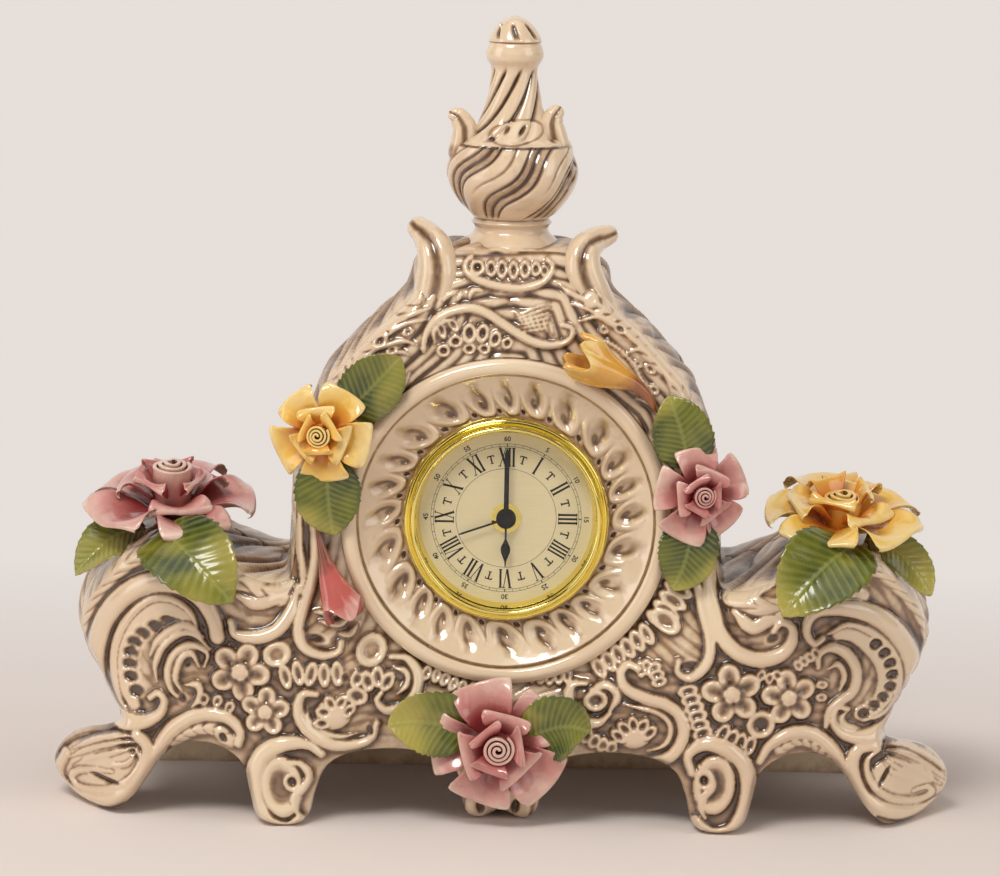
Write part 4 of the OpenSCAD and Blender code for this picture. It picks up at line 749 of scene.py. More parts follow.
class Relief:
    """Heights over the plain front on an even grid of X and Z, in mm. Strokes are given in the
    pixels of the enlargement that is set, and their heights in mm."""

    def __init__(self):
        self.enlargement = WHOLE
        self.xs = np.arange(-192.0, 192.01, PITCH)
        self.zs = np.arange(-6.0, 246.01, PITCH)
        self.x, self.z = np.meshgrid(self.xs, self.zs, indexing="ij")
        self.height = np.full(self.x.shape, -1.3)
        self.dark = np.zeros(self.x.shape)

    def around(self, flat, reach):
        """The part of the grid that lies round some points."""
        low = flat.min(0) - reach
        high = flat.max(0) + reach
        return tuple(slice(*np.searchsorted(cells, [low[k], high[k]]))
                     for k, cells in enumerate((self.xs, self.zs)))

    def along(self, points, width):
        """The window round a smooth path, half the width in mm, the distance to the path, the
        share of its length and the side."""
        flat = smooth_path(self.places(points), 6)
        half = self.mm(width) / 2
        win = self.around(flat, half + 1)
        return win, half, *distance_to_path(self.x[win], self.z[win], flat)

    def places(self, points):
        """Places on the front, in mm, of points that were read off the enlargement."""
        left, top, scale = self.enlargement
        return on_front(np.asarray(points, float) / scale + np.array((left, top)))

    def mm(self, width):
        """Millimetres for a width in the pixels of the enlargement."""
        return width / self.enlargement[2] * PIXEL

    def oval(self, at, rx, ry, turn, wider, more):
        """The window round a turned oval, the share u of the way out to its edge, and its
        smaller radius."""
        flat = self.places([at])[0]
        a, b = self.mm(rx), self.mm(ry)
        win = self.around(flat[None], max(a, b) * wider + more)
        x, z = self.x[win] - flat[0], self.z[win] - flat[1]
        c, s = cos_sin(turn)
        return win, np.hypot((c * x + s * z) / a, (-s * x + c * z) / b), min(a, b)

    def band(self, points, width, rise=2.6, ends=(0.45, 0.45)):
        """A rounded band along a smooth path: rise * sqrt(1 - (d / w)^2), where w swells from
        the ends to the middle."""
        win, half, d, along, _ = self.along(points, width)
        start = ends[0] + (1 - ends[0]) * smoothstep(0.0, 0.3, along)
        stop = ends[1] + (1 - ends[1]) * smoothstep(1.0, 0.7, along)
        w = half * np.minimum(start, stop)
        u = np.clip(d / w, 0.0, 1.0)
        shape = rise * crown(u) * (0.6 + 0.4 * w / half)
        self.lay(win, shape, u < 1, np.maximum(d - w, 0), rise)

    def lay(self, win, shape, within, beyond, rise):
        """Adds a raised shape where it stands highest, clears the wash under it, and draws a dark
        line along its foot: exp(-(distance beyond / 0.5 mm)^2)."""
        tops = within & (shape > self.height[win])
        foot = ~within & (self.height[win] < 0.6 * rise)
        line = np.where(foot, 0.85 * peak(beyond, 0, 0.5), 0.0)
        np.copyto(self.height[win], shape, where=tops)
        self.dark[win] = np.where(tops, 0.0, np.maximum(self.dark[win], line))

    def dome(self, at, rx, ry, turn=0.0, rise=1.6, hollow=0.0):
        """An oval dome, or a rimmed oval with a hollow middle where hollow is given."""
        win, u, least = self.oval(at, rx, ry, turn, 1.0, 1.5)
        beyond = np.maximum(u - 1, 0) * least
        if hollow == 0:
            self.lay(win, rise * crown(u), u < 1, beyond, rise)
            return
        shape = rise * (0.25 + 0.75 * peak(u, 0.8, 0.16)) - hollow * (1 - smoothstep(0.3, 0.72, u))
        self.lay(win, shape, u < 1, beyond, rise)
        np.copyto(self.height[win], shape, where=u < 0.8)
        pool = min(0.6, 0.3 * hollow) * (1 - smoothstep(0.35, 0.72, u))
        np.copyto(self.dark[win], pool, where=u < 0.8)

    def dent(self, at, rx, ry, turn=0.0, depth=2.6):
        """An oval hollow with a thin raised rim; its floor is dark with wash."""
        win, u, _ = self.oval(at, rx, ry, turn, 1.5, 1.0)
        rim = 0.55 * peak(u, 1.12, 0.16)
        sunk = 1 - smoothstep(0.55, 1.05, u)
        self.height[win] = (self.height[win] + rim) * (1 - sunk) + (self.height[win] - depth) * sunk
        np.copyto(self.dark[win], 0.0, where=np.abs(u - 1.15) < 0.12)
        self.dark[win] = np.maximum(self.dark[win], 0.8 * (1 - smoothstep(0.6, 1.0, u)))

    def flower(self, at, radius, turn, rise=2.2):
        """Five cupped petals round a boss: each petal is an oval with a raised rim and a midrib."""
        flat = self.places([at])[0]
        r = self.mm(radius)
        win = self.around(flat[None], r + 1.5)
        x, z = self.x[win] - flat[0], self.z[win] - flat[1]
        best = np.full(x.shape, -9.0)
        nearest = np.full(x.shape, 9.0)
        second = np.full(x.shape, 9.0)
        for k in range(5):
            c, s = cos_sin(turn + 72 * k)
            out, side = c * x + s * z, c * z - s * x
            u = np.hypot((out - 0.6 * r) / (0.4 * r), side / (0.37 * r))
            cup = rise * (0.45 + 0.55 * peak(u, 0.78, 0.22)) - 0.5 * (u < 0.2)
            cup = cup - 0.35 * peak(side, 0, 0.35) * (u < 0.8)
            best = np.maximum(best, np.where(u < 1, cup, -9.0))
            second = np.minimum(second, np.maximum(nearest, u))
            nearest = np.minimum(nearest, u)
        boss = np.hypot(x, z) / (0.27 * r)
        best = np.maximum(best, np.where(boss < 1, rise * (0.5 + 0.75 * crown(boss)), -9.0))
        np.copyto(self.height[win], best, where=best > -5)
        pool = 0.3 * (1 - smoothstep(0.35, 0.72, nearest)) + 0.75 * peak(boss, 1.3, 0.4)
        seam = peak(second, nearest, 0.13)
        pool = np.where(boss < 1, 0.0, np.maximum(pool, 0.8 * seam))
        best = best - 0.7 * seam * (boss > 1)
        line = (peak(nearest, 1.06, 0.1) + peak(boss, 1.15, 0.14)) * (boss > 1)
        self.dark[win] = np.where(best > -5, np.maximum(pool, 0.9 * line * (best < 1.2 * rise)),
                                  np.maximum(self.dark[win], 0.9 * line))

    def row(self, points, rx, ry, rise=1.3, hollow=0.9, steps=None):
        """A row of small shells along a path, each turned across it."""
        path = smooth_path(np.asarray(points, float), 8)
        gone = run_length(path)
        count = steps or max(2, int(gone[-1] / (1.7 * rx)))
        for g in np.linspace(0, gone[-1], count):
            spots = np.clip([g, g + 4, g - 4], 0, gone[-1])
            at, ahead, back = np.stack([np.interp(spots, gone, path[:, k]) for k in (0, 1)], 1)
            turn = -math.degrees(math.atan2(ahead[1] - back[1], ahead[0] - back[0]))
            self.dome(at, rx, ry, turn, rise, hollow)

    def flutes(self, spine, width, count, rise=1.2, lean=0.5):
        """Leaf flutes: a strip round a spine with ridges that run out at a lean from it:
        rise * |sin(pi * (count * along - lean * d / half))| under a round cover."""
        win, half, d, along, _ = self.along(spine, width)
        u = np.clip(d / half, 0, 1)
        ridge = np.abs(np.sin(math.pi * count * (along - lean * d / half / count)))
        rib = 0.5 * peak(d, 0, 0.8)
        shape = rise * (0.2 + 0.8 * ridge ** 0.7) * crown(u) + rib
        tops = (u < 1) & (shape > self.height[win])
        np.copyto(self.height[win], shape, where=tops)
        valley = 0.75 * peak(ridge, 0, 0.3) * smoothstep(0.05, 0.25, u)
        np.copyto(self.dark[win], valley, where=tops)

    def lines(self, paths, width, rise=1.2):
        """Several thin raised strands."""
        for points in paths:
            self.band(points, width, rise, (0.3, 0.3))


def carve_left(r):
    """The left half of the front, from the wing's edge to the ring and down to the feet."""
    r.enlargement = LOW_LEFT
    # leaf lobes between the wing's edge and the big scroll
    r.flutes([(262, 770), (240, 690), (252, 600), (290, 520), (350, 450), (420, 400), (490, 375)], 60, 9,
        1.6, 1.4)
    r.flutes([(520, 400), (600, 430), (700, 460), (790, 480), (880, 520)], 70, 5, 1.0, 1.0)
    r.flutes([(740, 400), (820, 450), (900, 490)], 46, 3, 1.0, 2.0)
    # bed of the crescent and its hollows
    r.band([(590, 590), (540, 560), (470, 570), (410, 630), (385, 700), (385, 780), (420, 860)], 92, 0.9)
    r.band([(622, 640), (600, 575), (540, 530), (470, 530), (400, 590), (360, 680), (360, 780),
        (390, 870), (450, 895)], 26, 1.6)
    for at in [(524, 600), (486, 615), (448, 638), (422, 665), (410, 697), (407, 733), (411, 772),
               (428, 818)]:
        r.dent(at, 27, 22, 0, 2.4)
    # big scroll of the wing
    r.band([(682, 650), (668, 590), (625, 525), (555, 485), (470, 480), (390, 520), (330, 590),
        (303, 680), (300, 770), (325, 850), (380, 905), (450, 915), (500, 890), (515, 850), (495, 825),
        (470, 840)], 68, 3.4, (0.7, 0.3))
    # hooked leaves inside the scroll
    r.lines([[(660, 690), (610, 640), (560, 640), (510, 680), (487, 740), (492, 790)],
             [(640, 650), (590, 612), (540, 625), (495, 660), (470, 710)],
             [(640, 745), (650, 700), (600, 675), (548, 700), (525, 760), (540, 820), (580, 850)],
             [(625, 745), (600, 700), (565, 720), (550, 780), (570, 820)],
             [(580, 800), (620, 800), (628, 840), (600, 870)]], 24, 2.0)
    r.dent((572, 842), 14, 16, 0, 2.0)
    r.dent((590, 735), 16, 9, 60, 1.6)
    r.row([(640, 845), (680, 850), (720, 870)], 16, 22)
    # tower wall scroll and the trough beside it
    r.band([(722, 600), (738, 640), (800, 652), (868, 628), (912, 570), (935, 490)], 44, 2.6)
    r.band([(745, 520), (800, 545), (860, 530), (915, 480)], 40, 1.2)
    r.band([(962, 190), (985, 290), (990, 390), (975, 480), (950, 560), (935, 625), (952, 680),
        (1010, 708), (1062, 695), (1070, 665)], 36, 2.8, (0.6, 0.5))
    r.band([(940, 250), (935, 350), (950, 440), (945, 510)], 26, 1.8)
    r.dent((992, 655), 34, 14, -15, 2.4)
    # flowers, shells and small rows
    r.dome((868, 705), 46, 40, 20, 1.5, 0.8)
    r.row([(895, 775), (945, 762), (985, 768), (1022, 768), (1058, 765)], 19, 42, 1.5, 1.0, 5)
    r.dent((1082, 778), 14, 16)
    r.flower((752, 757), 98, 65)
    r.flower((832, 882), 80, 85)
    r.lines([[(1000, 600), (1060, 610), (1100, 590)],
             [(985, 570), (1040, 575), (1085, 560)],
             [(1060, 640), (1100, 640), (1120, 610)]], 18, 1.2)
    r.dome((1165, 690), 48, 52, -30, 1.7, 0.9)
    r.row([(1120, 780), (1150, 790), (1185, 775), (1215, 790)], 20, 34, 1.4, 1.1, 4)
    r.dent((1130, 752), 12, 14)
    r.band([(1225, 712), (1275, 715), (1310, 760), (1305, 820), (1265, 870), (1210, 878), (1182, 850),
        (1195, 825)], 34, 2.4)
    r.lines([[(1235, 745), (1275, 760), (1275, 800), (1245, 830)]], 18, 1.4)
    r.row([(1340, 760), (1385, 775), (1430, 800), (1480, 815)], 14, 26, 1.0, 0.9, 6)
    # medallion with its shell
    r.band([(992, 830), (948, 830), (935, 885), (968, 945), (1035, 985), (1110, 990), (1165, 965),
        (1182, 920)], 40, 2.6, (0.5, 0.5))
    r.lines([[(965, 865), (968, 905), (1010, 945), (1070, 962), (1125, 950)]], 14, 1.3)
    r.dome((1045, 892), 56, 50, 0, 2.0)
    r.row([(1010, 920), (1020, 870), (1060, 850), (1095, 880)], 16, 26, 2.3, 0.9, 5)
    r.dome((1120, 835), 36, 28, -20, 1.6, 1.1)
    r.dent((1160, 940), 12, 18, 20)
    # scroll over the outer arch, with flutes under it
    r.flutes([(545, 975), (600, 940), (670, 935), (720, 975)], 46, 6, 1.2, 0.6)
    r.band([(430, 1130), (480, 1040), (525, 955), (590, 905), (655, 890), (715, 905), (752, 945),
        (748, 985)], 46, 2.6, (0.8, 0.6))
    r.dent((700, 965), 14, 20, 30)
    # outer foot: a long rolled rim, and flutes that sweep round a hollow
    r.dome((315, 1065), 140, 96, 12, 1.2)
    r.band([(429, 955), (462, 995), (458, 1058), (418, 1119), (345, 1155), (262, 1153), (201, 1117),
        (184, 1066), (208, 1012)], 54, 2.6, (0.7, 0.6))
    r.band([(428, 1000), (440, 1036), (415, 1085), (372, 1115), (314, 1126), (250, 1116), (226, 1088),
        (244, 1066), (300, 1062), (352, 1068)], 24, 2.0, (0.5, 0.5))
    r.lines([[(425, 964), (376, 958), (303, 968), (230, 996)],
             [(425, 980), (366, 980), (293, 994), (215, 1026)],
             [(420, 997), (366, 1008), (293, 1026), (232, 1050)],
             [(425, 1012), (400, 1045), (355, 1050), (300, 1046)]], 17, 1.7)
    r.dent((330, 1092), 62, 9, -6, 2.0)
    # second leg: a cupped tongue with a thick rim
    r.band([(1008, 1015), (960, 985), (885, 985), (822, 1020), (795, 1090), (802, 1165), (840, 1230),
        (900, 1250), (938, 1222)], 56, 3.0, (0.5, 0.6))
    r.dome((882, 1120), 66, 100, 8, 1.4, 1.2)
    r.band([(905, 1040), (945, 1050), (970, 1085), (950, 1125), (925, 1150), (930, 1195), (950, 1215)],
        26, 1.8, (0.5, 0.4))
    r.dome((915, 1105), 26, 30, 20, 1.4, 1.8)


def carve_middle_foot(r):
    """Two hollow lobes at the foot's middle, under the rose."""
    for corner, at, turn in ((LOW_LEFT, (1506, 1180), 12), (LOW_RIGHT, (48, 1180), -12)):
        r.enlargement = corner
        r.dome(at, 48, 58, turn, 1.6)
        r.dent(at, 16, 30, turn, 2.4)


def carve_right(r):
    """The right half of the front, which is its own drawing and not a mirror image."""
    r.enlargement = LOW_RIGHT
    r.flutes([(1345, 800), (1362, 700), (1345, 610), (1300, 530), (1230, 460), (1160, 420)], 60, 8, 1.6,
        1.4)
    r.flutes([(1130, 520), (1040, 520), (950, 540), (850, 560), (740, 530)], 60, 5, 1.0, 1.0)
    r.flutes([(850, 470), (790, 510), (720, 530)], 46, 3, 1.0, 2.0)
    r.band([(1060, 640), (1120, 640), (1180, 670), (1220, 730), (1225, 800), (1190, 860), (1130, 890)],
        92, 0.9)
    r.band([(1030, 640), (1090, 610), (1160, 630), (1225, 680), (1255, 750), (1245, 830), (1200, 890),
        (1140, 910)], 24, 1.6)
    for at in [(1178, 672), (1205, 700), (1222, 732), (1228, 768), (1222, 805), (1200, 838),
               (1172, 865), (1140, 888)]:
        r.dent(at, 24, 21, 0, 2.4)
    r.band([(1012, 655), (985, 670), (962, 640), (968, 595), (1005, 565), (1080, 558), (1160, 575),
        (1230, 620), (1280, 690), (1295, 770), (1275, 850), (1220, 925), (1145, 962), (1080, 955),
        (1045, 915), (1058, 870), (1090, 875)], 62, 3.4, (0.35, 0.3))
    r.band([(998, 745), (1000, 705), (1040, 682), (1090, 705), (1118, 760), (1105, 820), (1060, 855),
        (1030, 885), (1022, 930)], 36, 2.4)
    r.lines([[(1030, 750), (1060, 735), (1080, 770), (1065, 820)],
             [(1090, 880), (1070, 905), (1090, 930), (1130, 935)]], 20, 1.6)
    # tower wall scrolls and the big trough
    r.band([(700, 300), (668, 400), (655, 500), (670, 575), (690, 640), (745, 700), (815, 722),
        (880, 705), (915, 665), (915, 620), (882, 605), (858, 632)], 50, 2.8, (0.5, 0.4))
    r.band([(735, 570), (790, 620), (840, 600), (880, 590)], 44, 1.0)
    r.dent((855, 655), 22, 16, 30, 2.2)
    r.band([(600, 420), (622, 500), (640, 580), (660, 660), (650, 730), (600, 778), (558, 762),
        (560, 725)], 34, 2.6, (0.6, 0.5))
    r.dent((595, 738), 30, 13, 12, 2.4)
    # flowers, shells and small rows
    r.flower((727, 828), 98, 100)
    r.flower((906, 838), 90, 100)
    r.row([(590, 820), (605, 860), (620, 900), (632, 945), (650, 975)], 20, 34, 1.4, 1.0, 7)
    r.row([(820, 770), (850, 780), (870, 770)], 14, 20, 1.2, 1.0, 3)
    r.row([(935, 740), (962, 720), (990, 700)], 13, 20, 1.2, 1.0, 4)
    r.row([(1010, 800), (1008, 840)], 14, 20, 1.2, 1.0, 2)
    r.dome((818, 925), 46, 44, 20, 1.8, 1.4)
    r.row([(700, 950), (740, 975), (785, 990)], 18, 34, 1.5, 1.2, 4)
    r.row([(500, 600), (540, 540), (560, 500)], 22, 50, 1.5, 0.9, 4)
    r.dome((520, 600), 52, 34, -35, 1.7, 0.8)
    r.row([(310, 745), (360, 710), (410, 675), (460, 640)], 20, 38, 1.3, 0.9, 6)
    r.row([(440, 750), (480, 745), (500, 790)], 16, 26, 1.3, 1.0, 5)
    # S scroll with its medallion, and the small medallion
    r.band([(432, 748), (400, 735), (378, 765), (395, 812), (455, 842), (520, 862), (565, 900),
        (575, 960), (540, 1020), (470, 1050), (400, 1050), (345, 1020)], 40, 2.6, (0.6, 0.4))
    r.lines([[(380, 860), (430, 870), (500, 890), (535, 930), (520, 985), (460, 1010)]], 18, 1.4)
    r.dome((425, 960), 52, 40, 20, 1.8)
    r.row([(370, 960), (400, 930), (440, 925), (470, 950)], 17, 28, 2.2, 1.1, 5)
    r.band([(270, 795), (225, 800), (215, 855), (245, 910), (305, 920), (345, 890)], 34, 2.4)
    r.band([(285, 815), (335, 800), (368, 835), (345, 880)], 28, 2.0)
    r.dome((300, 850), 40, 34, 20, 1.6, 1.0)
    r.row([(270, 960), (310, 985), (350, 1000)], 18, 28, 1.2, 1.0, 4)
    r.row([(100, 770), (160, 775), (210, 770)], 15, 26, 1.0, 0.9, 5)
    # scroll over the outer arch
    r.flutes([(880, 1000), (930, 970), (990, 985), (1040, 1040)], 44, 6, 1.2, 0.6)
    r.band([(815, 1040), (850, 985), (915, 950), (985, 955), (1045, 1005), (1080, 1080), (1110, 1150),
        (1170, 1205)], 44, 2.6, (0.6, 0.8))
    # outer foot
    r.dome((1290, 1095), 150, 98, -12, 1.2)
    r.band([(1181, 985), (1122, 1003), (1103, 1066), (1134, 1148), (1202, 1188), (1296, 1194),
        (1388, 1162), (1438, 1116)], 54, 2.6, (0.7, 0.6))
    r.band([(1192, 1000), (1152, 1036), (1160, 1098), (1213, 1148), (1296, 1158), (1352, 1138),
        (1340, 1116), (1296, 1128)], 26, 2.0, (0.5, 0.5))
    r.lines([[(1205, 985), (1275, 990), (1348, 1025), (1425, 1090)],
             [(1212, 1003), (1275, 1013), (1348, 1052), (1410, 1105)],
             [(1213, 1022), (1262, 1042), (1320, 1074), (1385, 1112)],
             [(1205, 1040), (1235, 1075), (1290, 1096), (1340, 1104)]], 17, 1.7)
    r.dent((1205, 1085), 44, 9, 62, 2.0)
    # second leg
    r.band([(600, 1075), (590, 1020), (640, 985), (710, 1000), (765, 1050), (780, 1120), (765, 1200),
        (725, 1258), (660, 1265), (615, 1225)], 54, 3.0, (0.5, 0.6))
    r.dome((672, 1115), 66, 96, -6, 1.4, 1.2)
    r.band([(625, 1055), (655, 1080), (665, 1120), (640, 1150), (630, 1190), (645, 1220)], 26, 1.8,
        (0.5, 0.4))
    r.dome((640, 1100), 24, 28, 0, 1.4, 1.8)


def carve_neck(r):
    """The neck and the shoulders over the ring."""
    r.enlargement = NECK
    r.flutes([(-640, 1700), (-520, 1500), (-380, 1330), (-200, 1160), (-60, 1020)], 210, 8, 1.5, 1.2)
    r.flutes([(2140, 1620), (2000, 1450), (1850, 1290), (1680, 1160), (1500, 1050)], 210, 8, 1.5, 1.2)
    r.band([(1110, 690), (1155, 750), (1120, 840), (1040, 900), (900, 940), (750, 935), (600, 905),
        (470, 850), (400, 780), (405, 700), (450, 672)], 70, 2.0, (0.5, 0.5))
    for at, rx, ry in [((500, 760), 66, 64), ((620, 770), 44, 72), ((715, 775), 44, 80),
                       ((815, 785), 42, 80), ((915, 778), 44, 78), ((1010, 775), 42, 62),
                       ((1085, 790), 32, 52)]:
        r.dome(at, rx, ry, 0, 1.7, 1.6)
    r.band([(30, 1480), (50, 1350), (120, 1230), (250, 1150), (420, 1115), (560, 1150), (720, 1250),
        (880, 1355), (1050, 1430), (1220, 1430), (1320, 1370), (1320, 1290), (1235, 1262)], 80, 2.4,
        (0.6, 0.5))
    r.band([(130, 1420), (120, 1320), (190, 1240), (300, 1200)], 40, 1.4)
    for at, rx, ry, turn in [((205, 1488), 60, 54, 0), ((310, 1405), 62, 54, 20), ((430, 1335), 60, 86, 0),
                             ((545, 1335), 54, 84, -10), ((655, 1385), 50, 74, -20),
                             ((760, 1420), 44, 56, -30), ((430, 1470), 56, 46, 10),
                             ((560, 1470), 56, 44, -10), ((190, 1310), 34, 80, 20),
                             ((290, 1262), 34, 70, 40)]:
        r.dome(at, rx, ry, turn, 1.7, 1.5)
    hatch = [[(820 + 62 * k, 1120 + 20 * k), (900 + 52 * k, 1260 + 18 * k)] for k in range(6)]
    hatch += [[(830, 1180 + 30 * k), (1140, 1060 + 45 * k)] for k in range(6)]
    r.lines(hatch, 22, 0.5)
    r.lines([[(200, 1060), (250, 1000), (330, 960)],
             [(330, 1050), (360, 970)],
             [(430, 1040), (460, 960), (560, 960)]], 40, 1.2)
    # strands, cups and beads on the shoulders, read straight off the photograph
    r.enlargement = WHOLE
    for points, width, rise in [
            ([(424, 286), (408, 300), (392, 314), (374, 332), (356, 350), (340, 368), (324, 388)], 6, 1.8),
            ([(430, 308), (412, 314), (394, 322), (378, 334), (366, 346)], 6, 1.8),
            ([(426, 320), (410, 322), (396, 329), (384, 338)], 4, 1.4),
            ([(350, 374), (366, 362), (382, 356), (400, 352), (412, 356)], 5, 1.6),
            ([(366, 354), (384, 346), (402, 341), (418, 345)], 4.5, 1.5),
            ([(410, 372), (404, 384), (396, 392), (386, 400)], 4.5, 1.5),
            ([(584, 272), (600, 293), (616, 309), (634, 327), (652, 345), (672, 368), (690, 393)], 6, 1.8),
            ([(572, 304), (592, 311), (612, 322), (630, 336), (650, 354), (666, 372), (682, 396)], 5, 1.6),
            ([(580, 321), (598, 317), (614, 326), (630, 330)], 4.5, 1.4),
            ([(622, 356), (640, 349), (658, 362), (668, 380), (672, 396)], 4.5, 1.4),
            ([(636, 398), (650, 404), (660, 416), (664, 430)], 4.5, 1.4),
            ([(560, 286), (572, 294), (586, 300), (600, 308)], 5, 1.5)]:
        r.band(points, width, rise, (0.4, 0.3))
    for at, rx, ry, turn in [((380, 341), 9, 5, 35), ((408, 332), 6, 3.4, 20), ((392, 350), 6, 3.4, 25),
                             ((374, 366), 7, 3.6, 35), ((412, 398), 6, 4, 50), ((424, 388), 6, 4, 40),
                             ((620, 329), 7, 4.4, -25), ((604, 330), 5, 4, -20), ((650, 369), 7, 3.6, -40),
                             ((638, 364), 5, 3, -35), ((654, 390), 6, 4, -50)]:
        r.dome(at, rx, ry, turn, 1.5, 1.3)
    r.row([(608, 342), (622, 352), (634, 366), (642, 382)], 2.4, 2.4, 1.3, 0.0)
    # flutes beside the ring on the tower
    r.enlargement = LOW_LEFT
    r.flutes([(960, 20), (1010, -120), (1080, -250), (1150, -330)], 60, 7, 1.2, 1.0)
    r.enlargement = LOW_RIGHT
    r.flutes([(610, 0), (560, -140), (490, -260), (400, -350)], 60, 7, 1.2, 1.0)


def ground_strands(r, outline):
    """Leaf strands that fill the ground: ridges that follow the case's edge. The phase is the
    distance in from the outline over 5 mm, bent by slow waves; a strand narrows to its tips."""
    inside = outline.inside(r.x, r.z)
    wave = 1.6 * np.sin(r.z / 8.0 + 0.6 * np.sin(r.x / 17.0)) + 1.3 * np.sin(r.x / 11.0 - r.z / 19.0)
    phase = (inside + wave) / 5.0
    along = (0.8 * np.abs(r.x) + 0.9 * r.z) / 26.0 + 0.37 * np.floor(phase)
    tip = smoothstep(0.0, 0.45, np.abs(np.sin(math.pi * along)))
    return np.clip(np.abs(np.sin(math.pi * phase)) - 0.7 * (1 - tip), 0, 1)


def carved_heights(outline):
    """The whole relief with softened edges, and the wash that lies where it is low."""
    r = Relief()
    carve_left(r)
    carve_right(r)
    carve_neck(r)
    carve_middle_foot(r)
    ground = r.height < -1.25
    strand = ground_strands(r, outline)
    much = (0.35 + 0.65 * smoothstep(120.0, 165.0, r.z)) * smoothstep(30.0, 42.0, r.z)
    crisp = np.where(ground, -1.5 + (0.3 + 1.2 * strand ** 0.6) * much, r.height) * sizes().relief
    line = 0.12 + 0.55 * much * peak(strand, 0, 0.3)
    dark = np.where(ground, np.maximum(r.dark, line), r.dark)
    height = blur(crisp, 1)
    wash = (0.7 * np.clip(blur(height, 2) - height, 0, 0.8) + 0.3 * np.clip(blur(height, 5) - height, 0, 2)
            + 0.14 * np.clip(blur(height, 16) - height, 0, 3))
    wash = np.clip(wash + dark + 0.05 * (crisp < -0.8), 0, 1)
    return r, height, 0.4 * wash + 0.6 * blur(wash, 1)


def trimmed_grid(outline, left, right, pitch, hole):
    """An even grid of quads inside an outline and outside a round hole about the dial's axis.
    Vertices on the cut edge, where fewer than four quads meet, are moved onto the outline or
    onto the hole."""
    xs, zs = (np.linspace(low, high, int(round((high - low) / pitch)) + 1)
              for low, high in ((left, right), (GRID_FOOT, GRID_TOP)))
    x, z = (q.ravel() for q in np.meshgrid(xs, zs, indexing="ij"))
    quads = grid_faces(len(xs), len(zs))
    mx, mz = x[quads].mean(1), z[quads].mean(1)
    quads = quads[(outline.inside(mx, mz) > 0) & (np.hypot(mx, mz - DIAL_Z) > hole)]
    cells_there = np.bincount(quads.ravel(), minlength=len(x))
    rim = np.flatnonzero((cells_there > 0) & (cells_there < 4))
    away = np.hypot(x[rim], z[rim] - DIAL_Z)
    at_hole = np.abs(away - hole) < 1.5 * pitch
    end_column = (np.abs(x - left) < 1e-6) | (np.abs(x - right) < 1e-6)
    at_side = end_column[rim] & (outline.inside(x[rim], z[rim]) > 1.5 * pitch)
    on_hole, scale = rim[at_hole], hole / away[at_hole]
    x[on_hole] = x[on_hole] * scale
    z[on_hole] = DIAL_Z + (z[on_hole] - DIAL_Z) * scale
    edge = rim[~at_hole & ~at_side]
    for _ in range(2):
        d = outline.inside(x[edge], z[edge])
        gx, gz = outline.inward(x[edge], z[edge])
        x[edge] -= d * gx * ~end_column[edge]
        z[edge] -= d * gz
    used, quads = np.unique(quads, return_inverse=True)
    return x[used], z[used], quads.reshape(-1, 4)


def edge_drop(inside, radius):
    """How far a rounded edge falls back at a distance inside the outline: R - sqrt(R^2 - (R-d)^2)."""
    gap = np.clip(radius - inside, 0, radius)
    return radius - np.sqrt(np.maximum(radius * radius - gap * gap, 0))


def lip_depth(x, z):
    """Y of the front shell's inner face: the wall's thickness, and more behind legs and feet."""
    away = np.abs(x)
    leg = np.exp(-((away - LEG_X) / 15.0) ** 4) * smoothstep(50.0, 30.0, z)
    foot = smoothstep(138.0, 150.0, away) * smoothstep(50.0, 30.0, z)
    middle = np.exp(-(x / 17.0) ** 4) * smoothstep(40.0, 26.0, z)
    return front_depth(x, z) + WALL + 15.0 * leg + 22.0 * foot + 11.0 * middle


def foot_tuck(x, z, back):
    """An outer foot draws in towards its middle as it runs back: by 0.42 * back^2 of its size."""
    share = smoothstep(141.0, 153.0, np.abs(x)) * smoothstep(44.0, 33.0, z)
    factor = 0.42 * back * back * share
    return x + (FOOT_X * np.sign(x) - x) * factor, z + (13.0 - z) * factor


def front_shell(outline):
    """Front of the case as a height field: Y = plain front + edge round - relief."""
    r, height, wash = carved_heights(outline)
    radius = sizes().edge_round / MM
    for side, left, right in (("left", -GRID_HALF, 0.0), ("right", 0.0, GRID_HALF)):
        x, z, quads = trimmed_grid(outline, left, right, 0.48, 64.0)
        inside = np.maximum(outline.inside(x, z), 0)
        fade = smoothstep(0.0, 3.5, inside)
        lift = read_grid(height, r.xs, r.zs, x, z) * fade
        y = front_depth(x, z) + edge_drop(inside, radius) - lift
        shade = read_grid(wash, r.xs, r.zs, x, z)
        case_piece("case_front_" + side, xyz(x, y, z), quads,
                   ("front_" + side, "front_tower"), np.clip(shade, 0, 1))
    x, z, quads = trimmed_grid(outline, -GRID_HALF, GRID_HALF, 2.0, 62.0)
    y = lip_depth(x, z)
    x, z = foot_tuck(x, z, 1.0)
    case_piece("case_front_inside", xyz(x, y, z), quads[:, ::-1], FRONT_NODES,
               np.full(len(x), 0.35))


def upper_and_lower(outline):
    """The outline in two runs: over the wings and the tower, and round the feet and arches."""
    path = outline.path
    first, last = (np.argmin(np.hypot(path[:, 0] - side * WAIST[0], path[:, 1] - WAIST[1]))
                   for side in (1, -1))
    return path[first:last + 1], np.concatenate([path[last:], path[:first + 1]])


def strip(path, out, depths, offsets):
    """A band that follows a path of X and Z: rows of depth Y with offsets along the outward side."""
    offsets = np.array(offsets)
    rows = xyz(path[:, 0] + out[:, 0] * offsets, depths, path[:, 1] + out[:, 1] * offsets)
    return rows.reshape(-1, 3), grid_faces(*offsets.shape)


